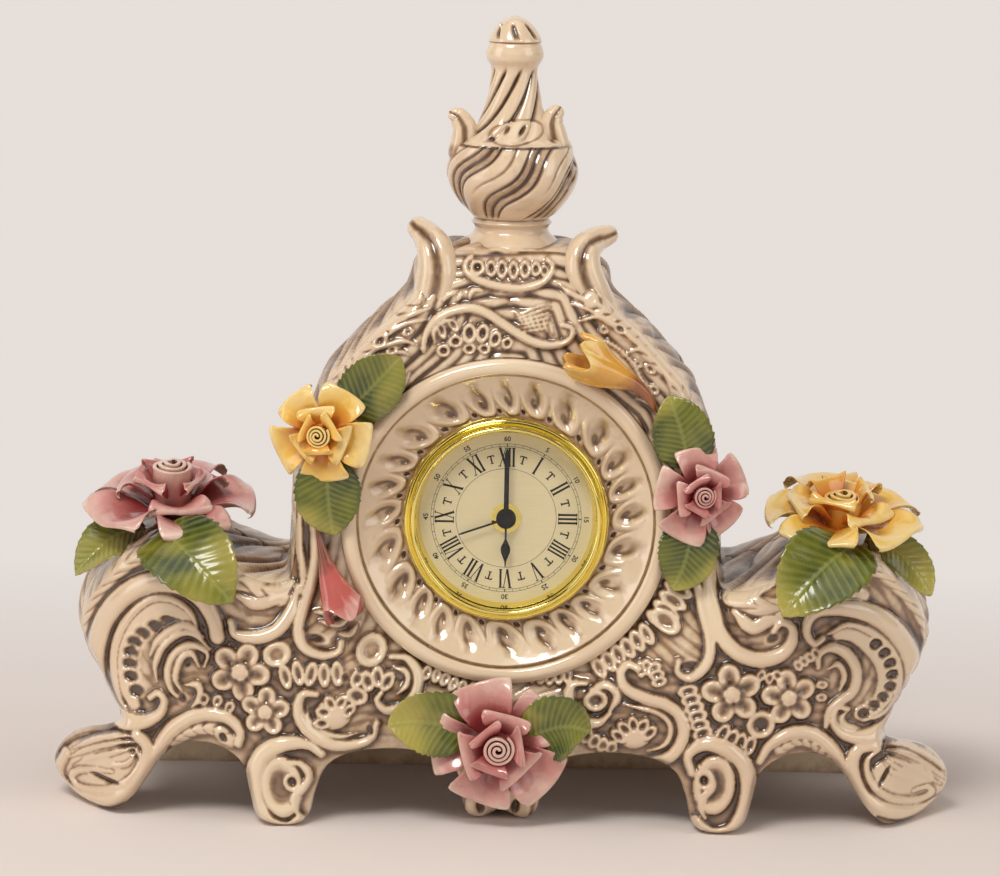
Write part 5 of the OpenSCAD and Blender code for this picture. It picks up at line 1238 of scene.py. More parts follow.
def ribs(path, depth, share):
    """Leaf carving on the sides: ridges that lean as they run back, 0 at both edges of the wall."""
    gone = run_length(path)
    bend = 0.5 * np.sin(gone / 37.0) + 0.28 * np.sin(gone / 9.0 + depth / 7.0)
    phase = gone / 12.5 + depth / 26.0 + bend
    ridge = np.abs(np.sin(math.pi * phase)) ** 0.7
    fine = np.abs(np.sin(3 * math.pi * phase + depth / 11.0))
    fade = np.sin(math.pi * np.clip(share, 0, 1)) ** 0.5
    wash = 0.34 + 0.75 * (1 - ridge) ** 1.1 + 0.4 * (1 - fine) ** 2
    return (3.0 * ridge + 0.6 * fine) * fade, wash * np.clip(fade * 1.4, 0.15, 1)


def side_walls(outline):
    """Both runs of wall: from the front's round edge to the seam, and from the seam to the back."""
    upper, lower = upper_and_lower(outline)
    out = outline.outward(upper)
    radius = sizes().edge_round / MM
    front = front_depth(*upper.T) + radius
    back = np.maximum(back_depth(*upper.T), BACK_LEAST) - 3.0
    runs = (("case_side_front", FRONT_NODES, front, np.full(len(upper), SEAM_Y), 44),
            ("case_side_back", ("case_back",), np.full(len(upper), SEAM_Y), back, 30))
    for name, stood_for, start, stop, rows in runs:
        tucked = 0.6 if stood_for == FRONT_NODES else 0.0
        depths, offsets, washes = [], [], []
        for k in range(rows + 1):
            t = k / rows
            depth = start + (stop - start) * t
            lift, wash = ribs(upper, depth, (depth - front) / (back - front))
            seam = peak(depth, SEAM_Y, 0.5)
            depths.append(depth - tucked * (k == 0))
            offsets.append(lift * (1 - 0.3 * seam) - 0.5 * seam - 0.5 * tucked * (k == 0))
            washes.append(np.clip(wash + seam * 0.6, 0, 1))
        points, quads = strip(upper, out, depths, offsets)
        case_piece(name, points, quads, stood_for, np.concatenate(washes), "carved_sides")
    out = outline.outward(lower)
    start = front_depth(*lower.T) + radius
    stop = np.maximum(lip_depth(*lower.T), start + 0.3)
    share = np.append(0.0, np.linspace(0, 1, 9))[:, None] * np.ones(len(lower))
    depths = start + (stop - start) * share
    offsets = np.zeros(share.shape)
    depths[0] -= 0.5
    offsets[0] -= 0.3
    points, quads = strip(lower, out, depths, offsets)
    points[:, 0], points[:, 2] = foot_tuck(points[:, 0], points[:, 2], share.ravel())
    case_piece("case_lower_edge", points, quads, ("front_left", "front_right"),
               np.full(len(points), 0.3))


def back_shell(outline):
    """Plain back with its access opening, its skirt down to the floor and its inner face, with painted shade
    along its edges and round the opening.
    """
    upper, _ = upper_and_lower(outline)
    side = [(SKIRT_HALF, z) for z in (0.0, 17.0, 34.0)]
    skirt = [(-x, z) for x, z in side[::-1]] + [(0.0, 0.0)] + side
    path = even_path(np.concatenate([upper, np.array(skirt), upper[:1]]), 1.2)
    whole = Outline(path)
    for name, pitch, offset, flip in (("case_back_outside", 1.3, 0.0, True),
                                      ("case_back_inside", 2.2, -WALL, False)):
        x, z, quads = trimmed_grid(whole, -GRID_HALF, GRID_HALF, pitch, ACCESS_RADIUS)
        inside = np.maximum(whole.inside(x, z), 0)
        drop = edge_drop(inside, 3.0) if flip else 0.0
        y = np.maximum(back_depth(x, z), BACK_LEAST) + offset - drop
        # Painted shade: both faces of the back darken in a ring round the access opening and in a band along
        # the outline.
        pool = 0.10 + 0.25 * np.exp(-np.abs(np.hypot(x, z - DIAL_Z) - ACCESS_RADIUS) / 3.0)
        case_piece(name, xyz(x, y, z), quads[:, ::-1] if flip else quads,
                   ("case_back",), pool + 0.3 * np.exp(-inside / 4.0))
    low = path[path[:, 1] < 39.0]
    beside = np.abs(low[:, 0]) >= 155.0
    left = low[beside & (low[:, 0] < 0)]
    right = low[beside & (low[:, 0] > 0)]
    flat = low[~beside & (low[:, 1] < 1.0)]
    run = np.concatenate([left[np.argsort(-left[:, 1])], flat[np.argsort(flat[:, 0])],
                          right[np.argsort(right[:, 1])]])
    out = whole.outward(run)
    end = np.maximum(back_depth(*run.T), BACK_LEAST)
    points, quads = strip(run, out, [end - WALL, end - 4.0, end - 3.0], np.zeros((3, len(run))))
    turn = np.radians(np.arange(0, 360, 2.0))
    edge = np.stack([ACCESS_RADIUS * np.cos(turn), DIAL_Z + ACCESS_RADIUS * np.sin(turn)], 1)
    hole_depth = back_depth(*edge.T)
    steps = np.array([[WALL], [WALL / 2], [0.0]])
    rows = xyz(edge[:, 0], hole_depth - steps, edge[:, 1])
    parts = [(points, quads, {"wash": np.full(len(points), 0.4)}),
             (rows, grid_faces(3, len(edge), wrap_cols=True), {"wash": np.full(rows[..., 0].size, 0.4)})]
    points, quads, values = join_parts(parts)
    case_piece("case_back_edges", points, quads, ("case_back",), values["wash"])


def turned_profile(profile, count):
    """Angles round an axis, and both columns of a profile spread over them."""
    turn = 2 * math.pi * np.arange(count) / count
    return turn, profile[:, :1] * np.ones(count), profile[:, 1:] * np.ones(count)


def about_dial(turn, radius, depth):
    """Places from the angle round the dial's axis, the radius and the depth."""
    return xyz(radius * np.sin(turn), depth, DIAL_Z + radius * np.cos(turn))


def dial_surround():
    """Ring and dish as one polar sheet: depth is a function of radius, and 24 lobes that lean as they go
    outwards each raise a rim round a sunk bowl, with a sunk comma, drop, flute and pit."""
    profile = [(39.5, -26.0), (39.6, -30.6), (40.2, -31.0), (43.0, -31.1), (47.0, -31.6), (52.0, -33.2),
               (57.0, -35.8), (60.0, -37.6), (60.6, -38.6), (61.2, -40.3), (62.4, -41.6), (64.2, -42.1),
               (66.0, -41.6), (67.4, -40.2), (68.1, -38.4), (68.3, -36.0)]
    curve = smooth_path(profile, 8)
    count = 800
    turn, radius, depth = turned_profile(curve, count)
    lobes = 24
    spot = turn[None, :] + 0.045 * np.sin(5 * turn)[None, :]
    middle = 49.0
    phase = lobes * spot / (2 * math.pi) + 0.03 * (radius - middle) - 0.0012 * (radius - middle) ** 2
    which = np.floor(phase + 0.5)
    across = (phase - which) * 2 * math.pi * middle / lobes
    uneven = np.sin(which * 2.4)
    out = radius - 51.2 - 0.8 * uneven
    oval = np.hypot(across / (5.2 + 0.3 * uneven), out / 7.4)
    rim = peak(oval, 0.95, 0.2) * smoothstep(5.5, -3.0, out)
    bowl = 1 - smoothstep(0.2, 0.9, oval)
    ring = np.hypot((across + 1.5) / 3.8, (out + 0.3) / 5.4)
    comma = peak(ring, 0.85, 0.2) * smoothstep(-1.2, 0.8, across) * smoothstep(5.0, 2.0, out)
    drop = 1 - smoothstep(0.3, 1.0, np.hypot((across + 0.5) / 1.7, (out + 2.6) / 2.6))
    flute = peak(across, 0, 2.4) * smoothstep(0.0, 5.0, out) * smoothstep(60.3, 57.0, radius)
    pit = 1 - smoothstep(0.5, 1.0, np.hypot((np.abs(across) - 6.4) / 1.3, (radius - 44.9) / 1.3))
    within = smoothstep(42.8, 43.8, radius) * smoothstep(60.4, 59.0, radius)
    lift = (1.2 * rim - 1.1 * bowl - 0.5 * comma - 0.7 * drop - 0.7 * flute - 1.4 * pit) * within
    wash = (0.08 + 0.26 * bowl + 0.42 * comma + 0.4 * drop + 0.24 * flute - 0.3 * rim + 0.8 * pit) * within
    wash = wash + 0.4 * peak(oval, 1.22, 0.11) * smoothstep(4.0, -2.0, out) * within
    # Painted shade: a dark band on the dish right beside the bezel, where the bezel stands out over it.
    wash = wash + 0.5 * smoothstep(45.5, 42.8, radius)
    groove = peak(radius, 60.9, 0.55)
    wash = np.where(radius > 61.6, 0.0, wash) + 0.95 * groove
    wash = wash + 0.9 * smoothstep(67.3, 68.2, radius)
    points = about_dial(turn, radius, depth - lift)
    quads = grid_faces(len(curve), count, wrap_cols=True, flip=True)
    case_piece("dial_surround", points, quads, ("front_tower",), np.clip(wash, 0, 1))


def revolve_z(profile, count, shift=None):
    """Turned surface about the upright axis: radius and height along a profile; shift adds to
    the radius as a function of height and angle."""
    turn, radius, height = turned_profile(profile, count)
    wash = np.zeros(radius.shape)
    if shift is not None:
        more, wash = shift(radius, height, turn[None, :] * np.ones_like(radius))
        radius = np.maximum(radius + more, 0.0)
    points = xyz(radius * np.cos(turn), radius * np.sin(turn), height)
    return points, grid_faces(len(profile), count, wrap_cols=True), wash


def finial_carving(radius, height, turn):
    """Twisted bands with pairs of grooves on the bulb, finer strands on the cone above it, and
    slots in the cap."""
    height = height + 4.3
    low = np.clip((height - 252.5) / 31.0, 0, 1)
    phase = 6 * turn / (2 * math.pi) - 1.1 * low + 0.09 * np.sin(3 * turn + 5 * low)
    q = phase - np.floor(phase) - 0.5
    groove = peak(np.abs(q), 0.31, 0.035) + 0.9 * peak(np.abs(q), 0.5, 0.04)
    groove = groove + 0.5 * peak(q, 0.02, 0.03) * smoothstep(0.25, 0.6, low)
    bulb = smoothstep(252.6, 255.0, height) * smoothstep(284.0, 282.6, height)
    broad = crown(q / 0.4)
    strand_phase = 9 * turn / (2 * math.pi) - 0.075 * (height - 285.0)
    strand = strand_phase - np.floor(strand_phase) - 0.5
    cone = smoothstep(284.2, 286.5, height) * smoothstep(316.0, 311.0, height)
    cut = peak(np.abs(strand), 0.5, 0.13)
    round_strand = crown(strand / 0.5)
    skirt = peak(height, 284.6, 1.1)
    side = np.abs(np.abs(turn - math.pi) - math.pi * 0.5) - math.pi * 0.5
    hollows = sum(1 - smoothstep(0.5, 1.0, np.hypot(side * 27.0 / 3.0, (height - at) / 2.0))
                  for at in (268.0, 275.0))
    slots = 7 * turn / (2 * math.pi) + 0.25 + 0.05 * (height - 329.0)
    slot = np.exp(-((slots - np.floor(slots) - 0.5) / 0.15) ** 4 - ((height - 329.6) / 2.9) ** 4)
    aside = (turn - 1.5 * math.pi) * radius
    knot = np.hypot((aside - 1.5) / 10.5, (height - 289.0 - 0.12 * aside) / 4.4)
    over = height - 290
    holes = sum(1 - smoothstep(0.3, 1.0, np.hypot((aside - at - 0.5 * over) / 1.5, over / size))
                for at, size in ((-2.6, 2.2), (3.4, 3.0)))
    more = (1.7 * broad - 1.3 * groove) * bulb * np.clip(radius / 26.0, 0.5, 1)
    more = more + (0.16 * radius * (round_strand - 0.6) - 0.7 * cut) * cone
    more = more + (0.9 + 0.9 * np.cos(8 * turn)) * skirt
    more = more + 1.3 * crown(knot) - 1.8 * holes
    more = more - 2.0 * hollows * bulb - 1.8 * slot
    wash = (0.95 * groove + 0.25 * (np.abs(q) > 0.36) + 0.12) * bulb + (0.95 * cut + 0.1) * cone
    wash = np.where(knot < 1, 0.1, wash) + 0.9 * hollows * bulb + 0.9 * holes
    wash = wash + 0.45 * peak(knot, 1.08, 0.1)
    wash = wash + slot + 0.8 * peak(height, 283.2, 0.5)
    wash = wash + 0.7 * peak(height, 325.2, 0.35) + 0.6 * peak(height, 252.6, 0.5)
    wash = wash + 0.8 * peak(height, 239.0, 0.7)
    return more, np.clip(wash, 0, 1)


def finial_body():
    """Foot, collar, bulb, cone and cap of the finial, as one profile turned about its axis."""
    profile = [(20.6, 235.4), (20.5, 237.4), (18.4, 240.0), (15.7, 242.6), (15.5, 244.8), (16.7, 246.6),
               (15.8, 248.2), (17.0, 250.0), (20.2, 254.0), (23.6, 259.4), (25.6, 265.6), (25.4, 271.6),
               (23.8, 277.4), (22.3, 280.0), (18.8, 282.6), (14.7, 287.0), (11.9, 293.0), (10.4, 299.0),
               (9.4, 305.0), (9.2, 308.6), (10.1, 311.2), (11.6, 313.8), (11.9, 316.4), (11.2, 319.0),
               (10.6, 320.4), (11.0, 321.4), (9.8, 324.2), (7.4, 327.6), (4.2, 330.2), (0.0, 331.8)]
    curve = smooth_path(profile, 10)
    curve[:, 0] = np.maximum(curve[:, 0], 0.0)
    points, quads, wash = revolve_z(curve, 300, finial_carving)
    case_piece("finial_turning", points, quads, ("finial",), wash)


def tube(path, sides=48, steps=10, groove=0.22):
    """A closed round bar along a smooth path of X, Y, Z and radius, with rounded ends; a groove
    runs down its front by that share of the radius."""
    p = smooth_path(path, steps)
    gone = run_length(p[:, :3])
    tangent, first, second = frames_along(p[:, :3])
    turn = 2 * math.pi * np.arange(sides) / sides
    cut = peak(turn, 0.5 * math.pi, 0.3)
    size = p[:, 3][:, None] * (1 - groove * cut)[None, :]
    out = np.cos(turn)[:, None] * first[:, None] + np.sin(turn)[:, None] * second[:, None]
    rings = p[:, None, :3] + size[:, :, None] * out
    caps = []
    for end, sign in ((0, -1.0), (-1, 1.0)):
        bows = [0.4, 0.75, 0.95, 1.0] if sign > 0 else [1.0, 0.95, 0.75, 0.4]
        for bow in bows:
            small = math.sqrt(max(0.0, 1 - bow * bow))
            centre = p[end, :3] + sign * tangent[end] * p[end, 3] * bow
            caps.append(centre + (rings[end] - p[end, :3]) * small)
    rows = np.concatenate([np.array(caps[:4]), rings, np.array(caps[4:])])
    along = np.concatenate([[0.0] * 4, gone / gone[-1], [1.0] * 4])
    faces = grid_faces(len(rows), sides, wrap_cols=True, flip=True)
    return rows, faces, {"along": np.repeat(along, sides), "groove": np.tile(cut, len(rows))}


def horns_and_ears():
    """Curled horns at the shoulders and small ears on the bulb, as pixels of the middle line
    and the width there."""
    horns = [[(424, 330, 44, -20), (432, 302, 42, -24), (438, 274, 41, -25), (435, 250, 37, -22),
              (427, 236, 30, -16), (419, 228, 24, -12)],
             [(604, 322, 40, -20), (592, 294, 38, -24), (583, 270, 37, -25), (584, 252, 34, -22),
              (594, 241, 28, -16), (608, 235, 21, -12)]]
    curls = [[(462, 152, 28, -6), (465, 138, 27, -6), (464, 126, 24, -6), (459, 117, 20, -6),
              (456, 115, 16, -6)],
             [(558, 152, 28, -6), (554, 137, 27, -6), (552, 124, 24, -6), (554, 116, 20, -6),
              (556, 113, 17, -6)]]
    for name, drawn, node in (("shoulder_horns", horns, "front_tower"), ("finial_ears", curls, "finial")):
        parts = []
        for marks in drawn:
            points, quads, values = tube(drawn_path(marks))
            wash = 0.5 * (1 - smoothstep(0.0, 0.3, values["along"])) + 0.8 * values["groove"]
            parts.append((points, quads, {"wash": wash}))
        points, quads, values = join_parts(parts)
        case_piece(name, points, quads, (node,), values["wash"])


# Roses, leaves and buds, each worked out in its own frame and then placed

def turning(about, degrees):
    """Matrix of a turn about the X or the Z axis."""
    c, s = cos_sin(degrees)
    if about == "x":
        return np.array([[1, 0, 0], [0, c, -s], [0, s, c]])
    return np.array([[c, -s, 0], [s, c, 0], [0, 0, 1]])


# Roses as seat in mm, matrix of their turn, radius in mm, tint and turn of the first petal
ROSES = {
    "wing_left": ((-139.83, -6.0, 115.0), turning("x", 12), 34.0, "pink", 7.0),
    "wing_right": ((139.83, -6.0, 115.0), turning("x", 12), 33.0, "yellow", 31.0),
    "tower_left": ((-73.92, -38.0, 163.2), turning("z", -14) @ turning("x", 90), 20.5, "yellow", 60.0),
    "tower_right": ((77.62, -38.0, 141.0), turning("z", 14) @ turning("x", 90), 19.5, "pink", 26.0),
    "bottom": ((-1.5, -40.8, 35.6), turning("x", 90) @ turning("z", 18), 27.0, "pink", 17.0),
}
# Leaves as base, bend and tip of the midrib in mm, half the width and the way the blade faces
LEAVES = {
    "wing_left": [((-142, -28, 118), (-130, -57, 117), (-111, -58, 95), 15.0, (0.1, -0.85, 0.5)),
                  ((-150, -14, 116), (-166, -20, 117), (-178, -24, 98), 10.0, (-0.3, -0.6, 0.7))],
    "wing_right": [((144, -28, 118), (130, -57, 117), (113, -58, 94), 15.0, (-0.1, -0.85, 0.5)),
                   ((150, -12, 117), (166, -18, 116), (177, -22, 96), 10.0, (0.3, -0.6, 0.7))],
    "tower_left": [((-66, -42, 172), (-54, -45, 184), (-44, -43, 195), 10.5, (0, -1, 0)),
                   ((-73, -42, 152), (-74, -46, 137), (-70, -43, 121), 11.5, (0, -1, 0))],
    "tower_right": [((74, -42, 152), (72, -46, 167), (65, -42, 181), 10.5, (0, -1, 0)),
                    ((76, -42, 130), (76, -46, 116), (69, -43, 101), 10.5, (0, -1, 0))],
    "bottom": [((-12, -47, 40), (-30, -52, 48), (-47, -50, 43), 11.5, (0, -1, 0.1)),
               ((11, -47, 38), (24, -52, 48), (36, -50, 42), 11.5, (0, -1, 0.1))],
}


def thick_sheet(grid, thickness, values):
    """A closed thin body round a grid of points: its under side lies along the normals, and
    the edges come together to a thin round lip."""
    rows, cols = grid.shape[:2]
    normal = np.cross(*np.gradient(grid, axis=(0, 1)))
    normal /= np.maximum(np.linalg.norm(normal, axis=2)[..., None], 1e-9)
    u, v = sheet_shares(rows, cols)
    thin = np.sqrt(np.clip(1 - v ** 8, 0.0, 1)) * np.sqrt(np.clip(1 - u ** 12, 0.0, 1))
    half = (thickness / 2 * np.maximum(thin, 0.15))[..., None]
    ring = np.concatenate([grid + normal * half, (grid - normal * half)[:, ::-1]], 1)
    middle = np.concatenate([grid, grid[:, ::-1]], 1)
    body = np.concatenate([middle[:1], ring, middle[-1:]])
    faces = grid_faces(rows + 2, 2 * cols, wrap_cols=True)
    out = {}
    for key, value in values.items():
        both = np.concatenate([value, value[:, ::-1]], 1)
        out[key] = np.concatenate([both[:1], both, both[-1:]])
    return body, faces, out


def petal(r0, r1, half, z0, rise, roll, bend, rows=34, cols=29):
    """A petal: u runs outwards and v across. It rises as a sine, widens to a square lip with
    drawn-out corners, and from u = 0.8 on it rolls back round a small bar, thick at the corners."""
    u, v = sheet_shares(rows, cols)
    flat = np.minimum(u / 0.8, 1.0)
    curl = np.clip((u - 0.8) / 0.2, 0, 1) * (2.2 + 0.9 * v * v)
    bar = roll * (0.6 + 0.5 * v * v)
    corner = 1.0 - 0.11 * v * v * flat * flat
    out = r0 + (r1 - r0 - 0.7 * roll) * (1 - (1 - flat) ** 1.15) * corner + bar * np.sin(curl)
    width = half * np.interp(u, [0, 0.2, 0.45, 0.7, 0.85, 1.0], [0.34, 0.6, 0.85, 1.0, 1.02, 0.94])
    cup = 0.34 * half * v * v * np.sin(math.pi * np.minimum(flat * 1.02, 1.0)) + 0.05 * half * np.abs(v)
    ripple = 0.04 * r1 * np.sin(3.1 * v + bend) * u * u
    z = z0 + rise * np.sin(1.75 * flat) + cup + ripple - bar * (1 - np.cos(curl))
    side = v * width * (1 + 0.06 * np.sin(4 * u + bend))
    return thick_sheet(xyz(out, side, z), sizes().petal_thickness / MM, {"along": u * (0.86 + 0.14 * v * v)})


def placed(points, turn, seat):
    """Points turned by a matrix and moved to their seat."""
    return np.asarray(points).reshape(-1, 3) @ turn.T + np.array(seat)


def rose_piece(name, part, parts, look):
    """Joins the parts of one rose's petals, heart or leaves into their piece."""
    points, quads, values = join_parts(parts)
    new_piece(name + "_rose_" + part, points, quads, "case", (name + "_" + part,), look, values)


def rose_petals(name):
    """Five outer petals, and inner ones that stand closer round the heart. On a wing the rose
    is a cup that is seen from the side: its petals rise more, most of all those at the back."""
    seat, turn, r, tint, start = ROSES[name]
    cup = 1.0 if name.startswith("wing") else 0.0
    rounds = [(5, r, 0.48 * r, 0.13 * r, (0.13 + 0.1 * cup) * r, (0.06 - 0.02 * cup) * r, 0.0),
              (3, (0.55 + 0.06 * cup) * r, 0.40 * r, 0.24 * r, (0.24 + 0.04 * cup) * r, 0.045 * r, 40.0),
              (3, 0.37 * r, 0.31 * r, 0.30 * r, (0.30 + 0.08 * cup) * r, 0.035 * r, 95.0)]
    parts = []
    for depth, (count, reach, half, z0, rise, roll, first) in enumerate(rounds):
        for k in range(count):
            lift = 0.05 * r * (k % 2) + 0.012 * r * k
            size = 1 + 0.05 * math.sin(2.3 * k + start)
            behind = math.sin(math.radians(360 / count * k + start + first))
            up = rise + 0.08 * cup * r * behind
            body, faces, values = petal(0.13 * r, reach * size, half * size, z0 + lift, up, roll, k * 1.7)
            values["along"] = values["along"] * (1 - 0.1 * depth)
            about = turning("z", 360 / count * k + start + first)
            parts.append((placed(body, turn @ about, seat), faces, values))
    rose_piece(name, "petals", parts, tint + "_petal")


def rose_heart(name):
    """A rolled strip: a wall of even thickness whose distance from the axis grows with the turn,
    with a rounded upper lip; a plug closes its foot."""
    seat, turn, r, tint, _ = ROSES[name]
    steps = 260
    around = np.linspace(0, 2 * math.pi * 3.1, steps)
    share = around / around[-1]
    wall = 0.042 * r
    radius = 0.03 * r + (0.26 * r - 0.03 * r - wall / 2) * share
    tall = {"wing_left": 0.9, "wing_right": 0.68}.get(name, 0.72)
    top = r * (tall - 0.09 * share + 0.008 * np.sin(2 * around))
    foot = r * (0.1 + 0.42 * (1 - share) * (share < 0.97))
    lip = np.radians(np.linspace(-80, 260, 14))
    swell = 1 + 0.5 * np.maximum(np.sin(lip), 0)
    across = np.where(np.cos(lip) > 0, wall / 2, -wall / 2) * np.abs(np.cos(lip)) ** 0.5 * swell
    dist = radius[:, None] + across
    upper = np.sin(lip) > -0.3
    high = np.where(upper, top[:, None] + wall * 0.6 * np.sin(lip), foot[:, None])
    rows = xyz(dist * np.cos(around)[:, None], dist * np.sin(around)[:, None], high)
    strip_part = (placed(rows, turn, seat), grid_faces(steps, len(lip), wrap_cols=True, flip=True),
                  {"along": np.tile(np.where(upper, 0.72, 0.4), steps)})
    profile = np.array([(0.0, 0.50 * r), (0.1 * r, 0.5 * r), (0.2 * r, 0.46 * r), (0.225 * r, 0.3 * r),
                        (0.22 * r, 0.0), (0.2 * r, -4.0), (0.0, -4.0)])
    plug, quads, _ = revolve_z(profile, 40)
    plug_part = (placed(plug, turn, seat), quads[:, ::-1], {"along": np.full(plug[..., 0].size, 0.05)})
    rose_piece(name, "heart", [strip_part, plug_part], tint + "_petal")


def rose_leaf(base, bend, tip, half, faces_way, rows=72, cols=41):
    """A leaf blade: the midrib is a curve by base, bend and tip. Width follows a broad oval with
    teeth, side veins are low ridges that run forward, and the blade folds up along the rib."""
    u, v = sheet_shares(rows, cols)
    base, bend, tip, way = (np.array(p, float) for p in (base, bend, tip, faces_way))
    t = u[..., None]
    rib_line = (1 - t) ** 2 * base + 2 * t * (1 - t) * bend + t * t * tip
    tangent = (1 - t) * (bend - base) + t * (tip - bend)
    tangent /= np.linalg.norm(tangent, axis=2)[..., None]
    side = np.cross(way, tangent)
    side /= np.linalg.norm(side, axis=2)[..., None]
    up = np.cross(tangent, side)
    width = half * np.interp(u, [0, 0.06, 0.18, 0.38, 0.6, 0.78, 0.9, 0.97, 1.0],
                             [0.3, 0.7, 1.02, 1.16, 1.08, 0.82, 0.5, 0.22, 0.02])
    teeth = 12 * u
    tooth = 1 + 0.08 * (teeth - np.floor(teeth)) * np.abs(v) ** 3
    rib = np.exp(-(v * width / 0.6) ** 2)
    run = 13 * u - 2.2 * np.abs(v) * width / half
    run = run - np.floor(run) - 0.5
    branch = peak(run, 0, 0.12) * (np.abs(v) < 0.95) * smoothstep(0.0, 0.06, u)
    wave = 0.07 * half * np.sin(7.0 * u + 2.0 * v) * np.abs(v)
    lift = 0.2 * width * np.abs(v) ** 1.3 + 0.4 * rib + 0.22 * branch - 0.12 * np.abs(run) + wave
    grid = rib_line + side * (v * width * tooth)[..., None] + up * lift[..., None]
    vein = np.clip(rib + 0.8 * branch, 0, 1)
    return thick_sheet(grid, 1.2, {"along": u, "vein": vein})


def rose_leaves(name):
    """The leaves that lie under one rose."""
    rose_piece(name, "leaves", [rose_leaf(*leaf) for leaf in LEAVES[name]], "leaf")


def trumpet(path, folds, start, sides=72, steps=14):
    """An opening bud along a path of X, Y, Z and radius: its section is round with folds that
    grow towards the mouth, the mouth flares in a wave, and a funnel leads back inside."""
    p = smooth_path(path, steps)
    count = len(p)
    tangent, first, second = frames_along(p[:, :3])
    back = np.arange(count - 1, count // 3, -1)
    order = np.concatenate([np.arange(count), back])
    share = order / (count - 1)
    inner = np.concatenate([np.zeros(count), np.linspace(0.1, 1, len(back))])
    turn = 2 * math.pi * np.arange(sides) / sides
    twist = turn[None, :] + 0.8 * share[:, None]
    fold = 0.2 * share[:, None] ** 2 * np.abs(np.sin(folds * twist / 2 + start)) ** 0.6
    size = p[order, 3][:, None] * (0.88 + fold) * (1 - 0.22 * (inner > 0) - 0.72 * inner)[:, None]
    ends = np.minimum(1.0, np.arange(len(order)) / 5.0)[:, None] ** 0.5
    reach = 0.45 * p[-1, 3] * share[:, None] ** 6 * np.cos(folds * twist + start)
    rings = (p[order][:, None, :3] + (size * ends * np.cos(turn))[..., None] * first[order][:, None]
             + (size * ends * np.sin(turn))[..., None] * second[order][:, None]
             + reach[..., None] * tangent[order][:, None])
    along = np.repeat(np.where(inner > 0, 0.5 * share, share), sides)
    return rings.reshape(-1, 3), grid_faces(len(order), sides, wrap_cols=True, flip=True), {"along": along}


def buds():
    """Buds laid on the front, as pixels of the middle line, the width there and the depth: a thin
    tail that swells and opens at the mouth."""
    orange = [(657, 413, 6, -40), (648, 397, 11, -41), (634, 384, 18, -42), (615, 375, 31, -43.5),
              (597, 366, 42, -44.5), (581, 355, 47, -45.5)]
    red = [(317, 516, 4, -40), (320, 540, 8, -41), (325, 560, 15, -42), (331, 580, 26, -43),
           (338, 597, 36, -44), (344, 612, 42, -44.5)]
    for slot, path, folds, start in (("orange_bud", orange, 4, 0.7), ("red_bud", red, 3, 0.2)):
        points, quads, values = trumpet(drawn_path(path), folds, start)
        new_piece(slot + "_shape", points, quads, "case", (slot,), slot, values)


# The clock insert

def revolve_dial(profile, count):
    """Turned surface about the dial's axis: radius and depth along a profile."""
    points = about_dial(*turned_profile(profile, count))
    return points, grid_faces(len(profile), count, wrap_cols=True, flip=True)


def bezel_ring():
    """Polished bezel: a rolled outer bead, a groove and an inner ring that slopes to the glass,
    as one closed profile of radius and depth."""
    profile = [(37.95, -31.0), (37.95, -33.5), (37.95, -36.2), (37.1, -36.4), (37.0, -37.2), (37.3, -38.2),
               (38.0, -38.9), (38.9, -38.7), (39.4, -37.8), (39.6, -36.2), (39.75, -35.0), (40.1, -34.5),
               (40.5, -34.9), (41.2, -35.1), (42.0, -34.5), (42.45, -33.4), (42.4, -32.2), (42.0, -31.2),
               (41.5, -31.0), (37.95, -31.0)]
    curve = smooth_path(profile, 6)
    points, quads = revolve_dial(curve, 256)
    new_piece("bezel_ring", points, quads, "insert", ("bezel",), "brass")


def lens_dome():
    """Domed glass: two shallow bowls of the same curve, joined at the rim."""
    share = np.linspace(0, 1, 24)
    front = np.stack([37.8 * share, -36.44 - 1.6 * (1 - share ** 2)], 1)
    back = np.stack([37.8 * share[::-1], -34.9 - 1.5 * (1 - share[::-1] ** 2)], 1)
    points, quads = revolve_dial(np.concatenate([front, back]), 180)
    new_piece("lens_dome", points, quads, "insert", ("lens",), "lens")


def flat_ring(inner, outer, count=360):
    """A flat ring about the dial's axis, drawn at the origin."""
    turn = 2 * math.pi * np.arange(count) / count
    circle = np.stack([np.sin(turn), np.cos(turn)], -1)
    return np.concatenate([inner * circle, outer * circle]), grid_faces(2, count, True, True)


def bar_shape(x0, z0, x1, z1, width):
    """A straight bar between two places, as four corners."""
    a, b = np.array([x0, z0]), np.array([x1, z1])
    across = np.array([z0 - z1, x1 - x0]) / np.linalg.norm(b - a) * width / 2
    return np.array([a - across, b - across, b + across, a + across]), np.array([[0, 1, 2, 3]])


def letter_strokes(letter, high):
    """Bars of the letters I, V and X with serifs, drawn about x = 0, and the letter's width.
    Sizes are shares of the height; one stroke of V and X is thin."""
    thick, thin, serif = 0.17, 0.06, 0.045
    foot, head = serif / 2, 1 - serif / 2
    drawn = {
        "I": ([(0, 0, 0, 1, thick), (-0.14, foot, 0.14, foot, serif),
               (-0.14, head, 0.14, head, serif)], 0.34),
        "V": ([(-0.26, 1, 0, 0, thick), (0.27, 1, 0.02, 0.02, thin), (-0.4, head, -0.12, head, serif),
               (0.14, head, 0.38, head, serif)], 0.72),
        "X": ([(-0.25, 1, 0.25, 0, thick), (0.25, 1, -0.25, 0, thin), (-0.38, head, -0.12, head, serif),
               (0.13, head, 0.37, head, serif), (-0.38, foot, -0.12, foot, serif),
               (0.12, foot, 0.38, foot, serif)], 0.72),
    }
    bars, width = drawn[letter]
    return np.array(bars) * high, width * high


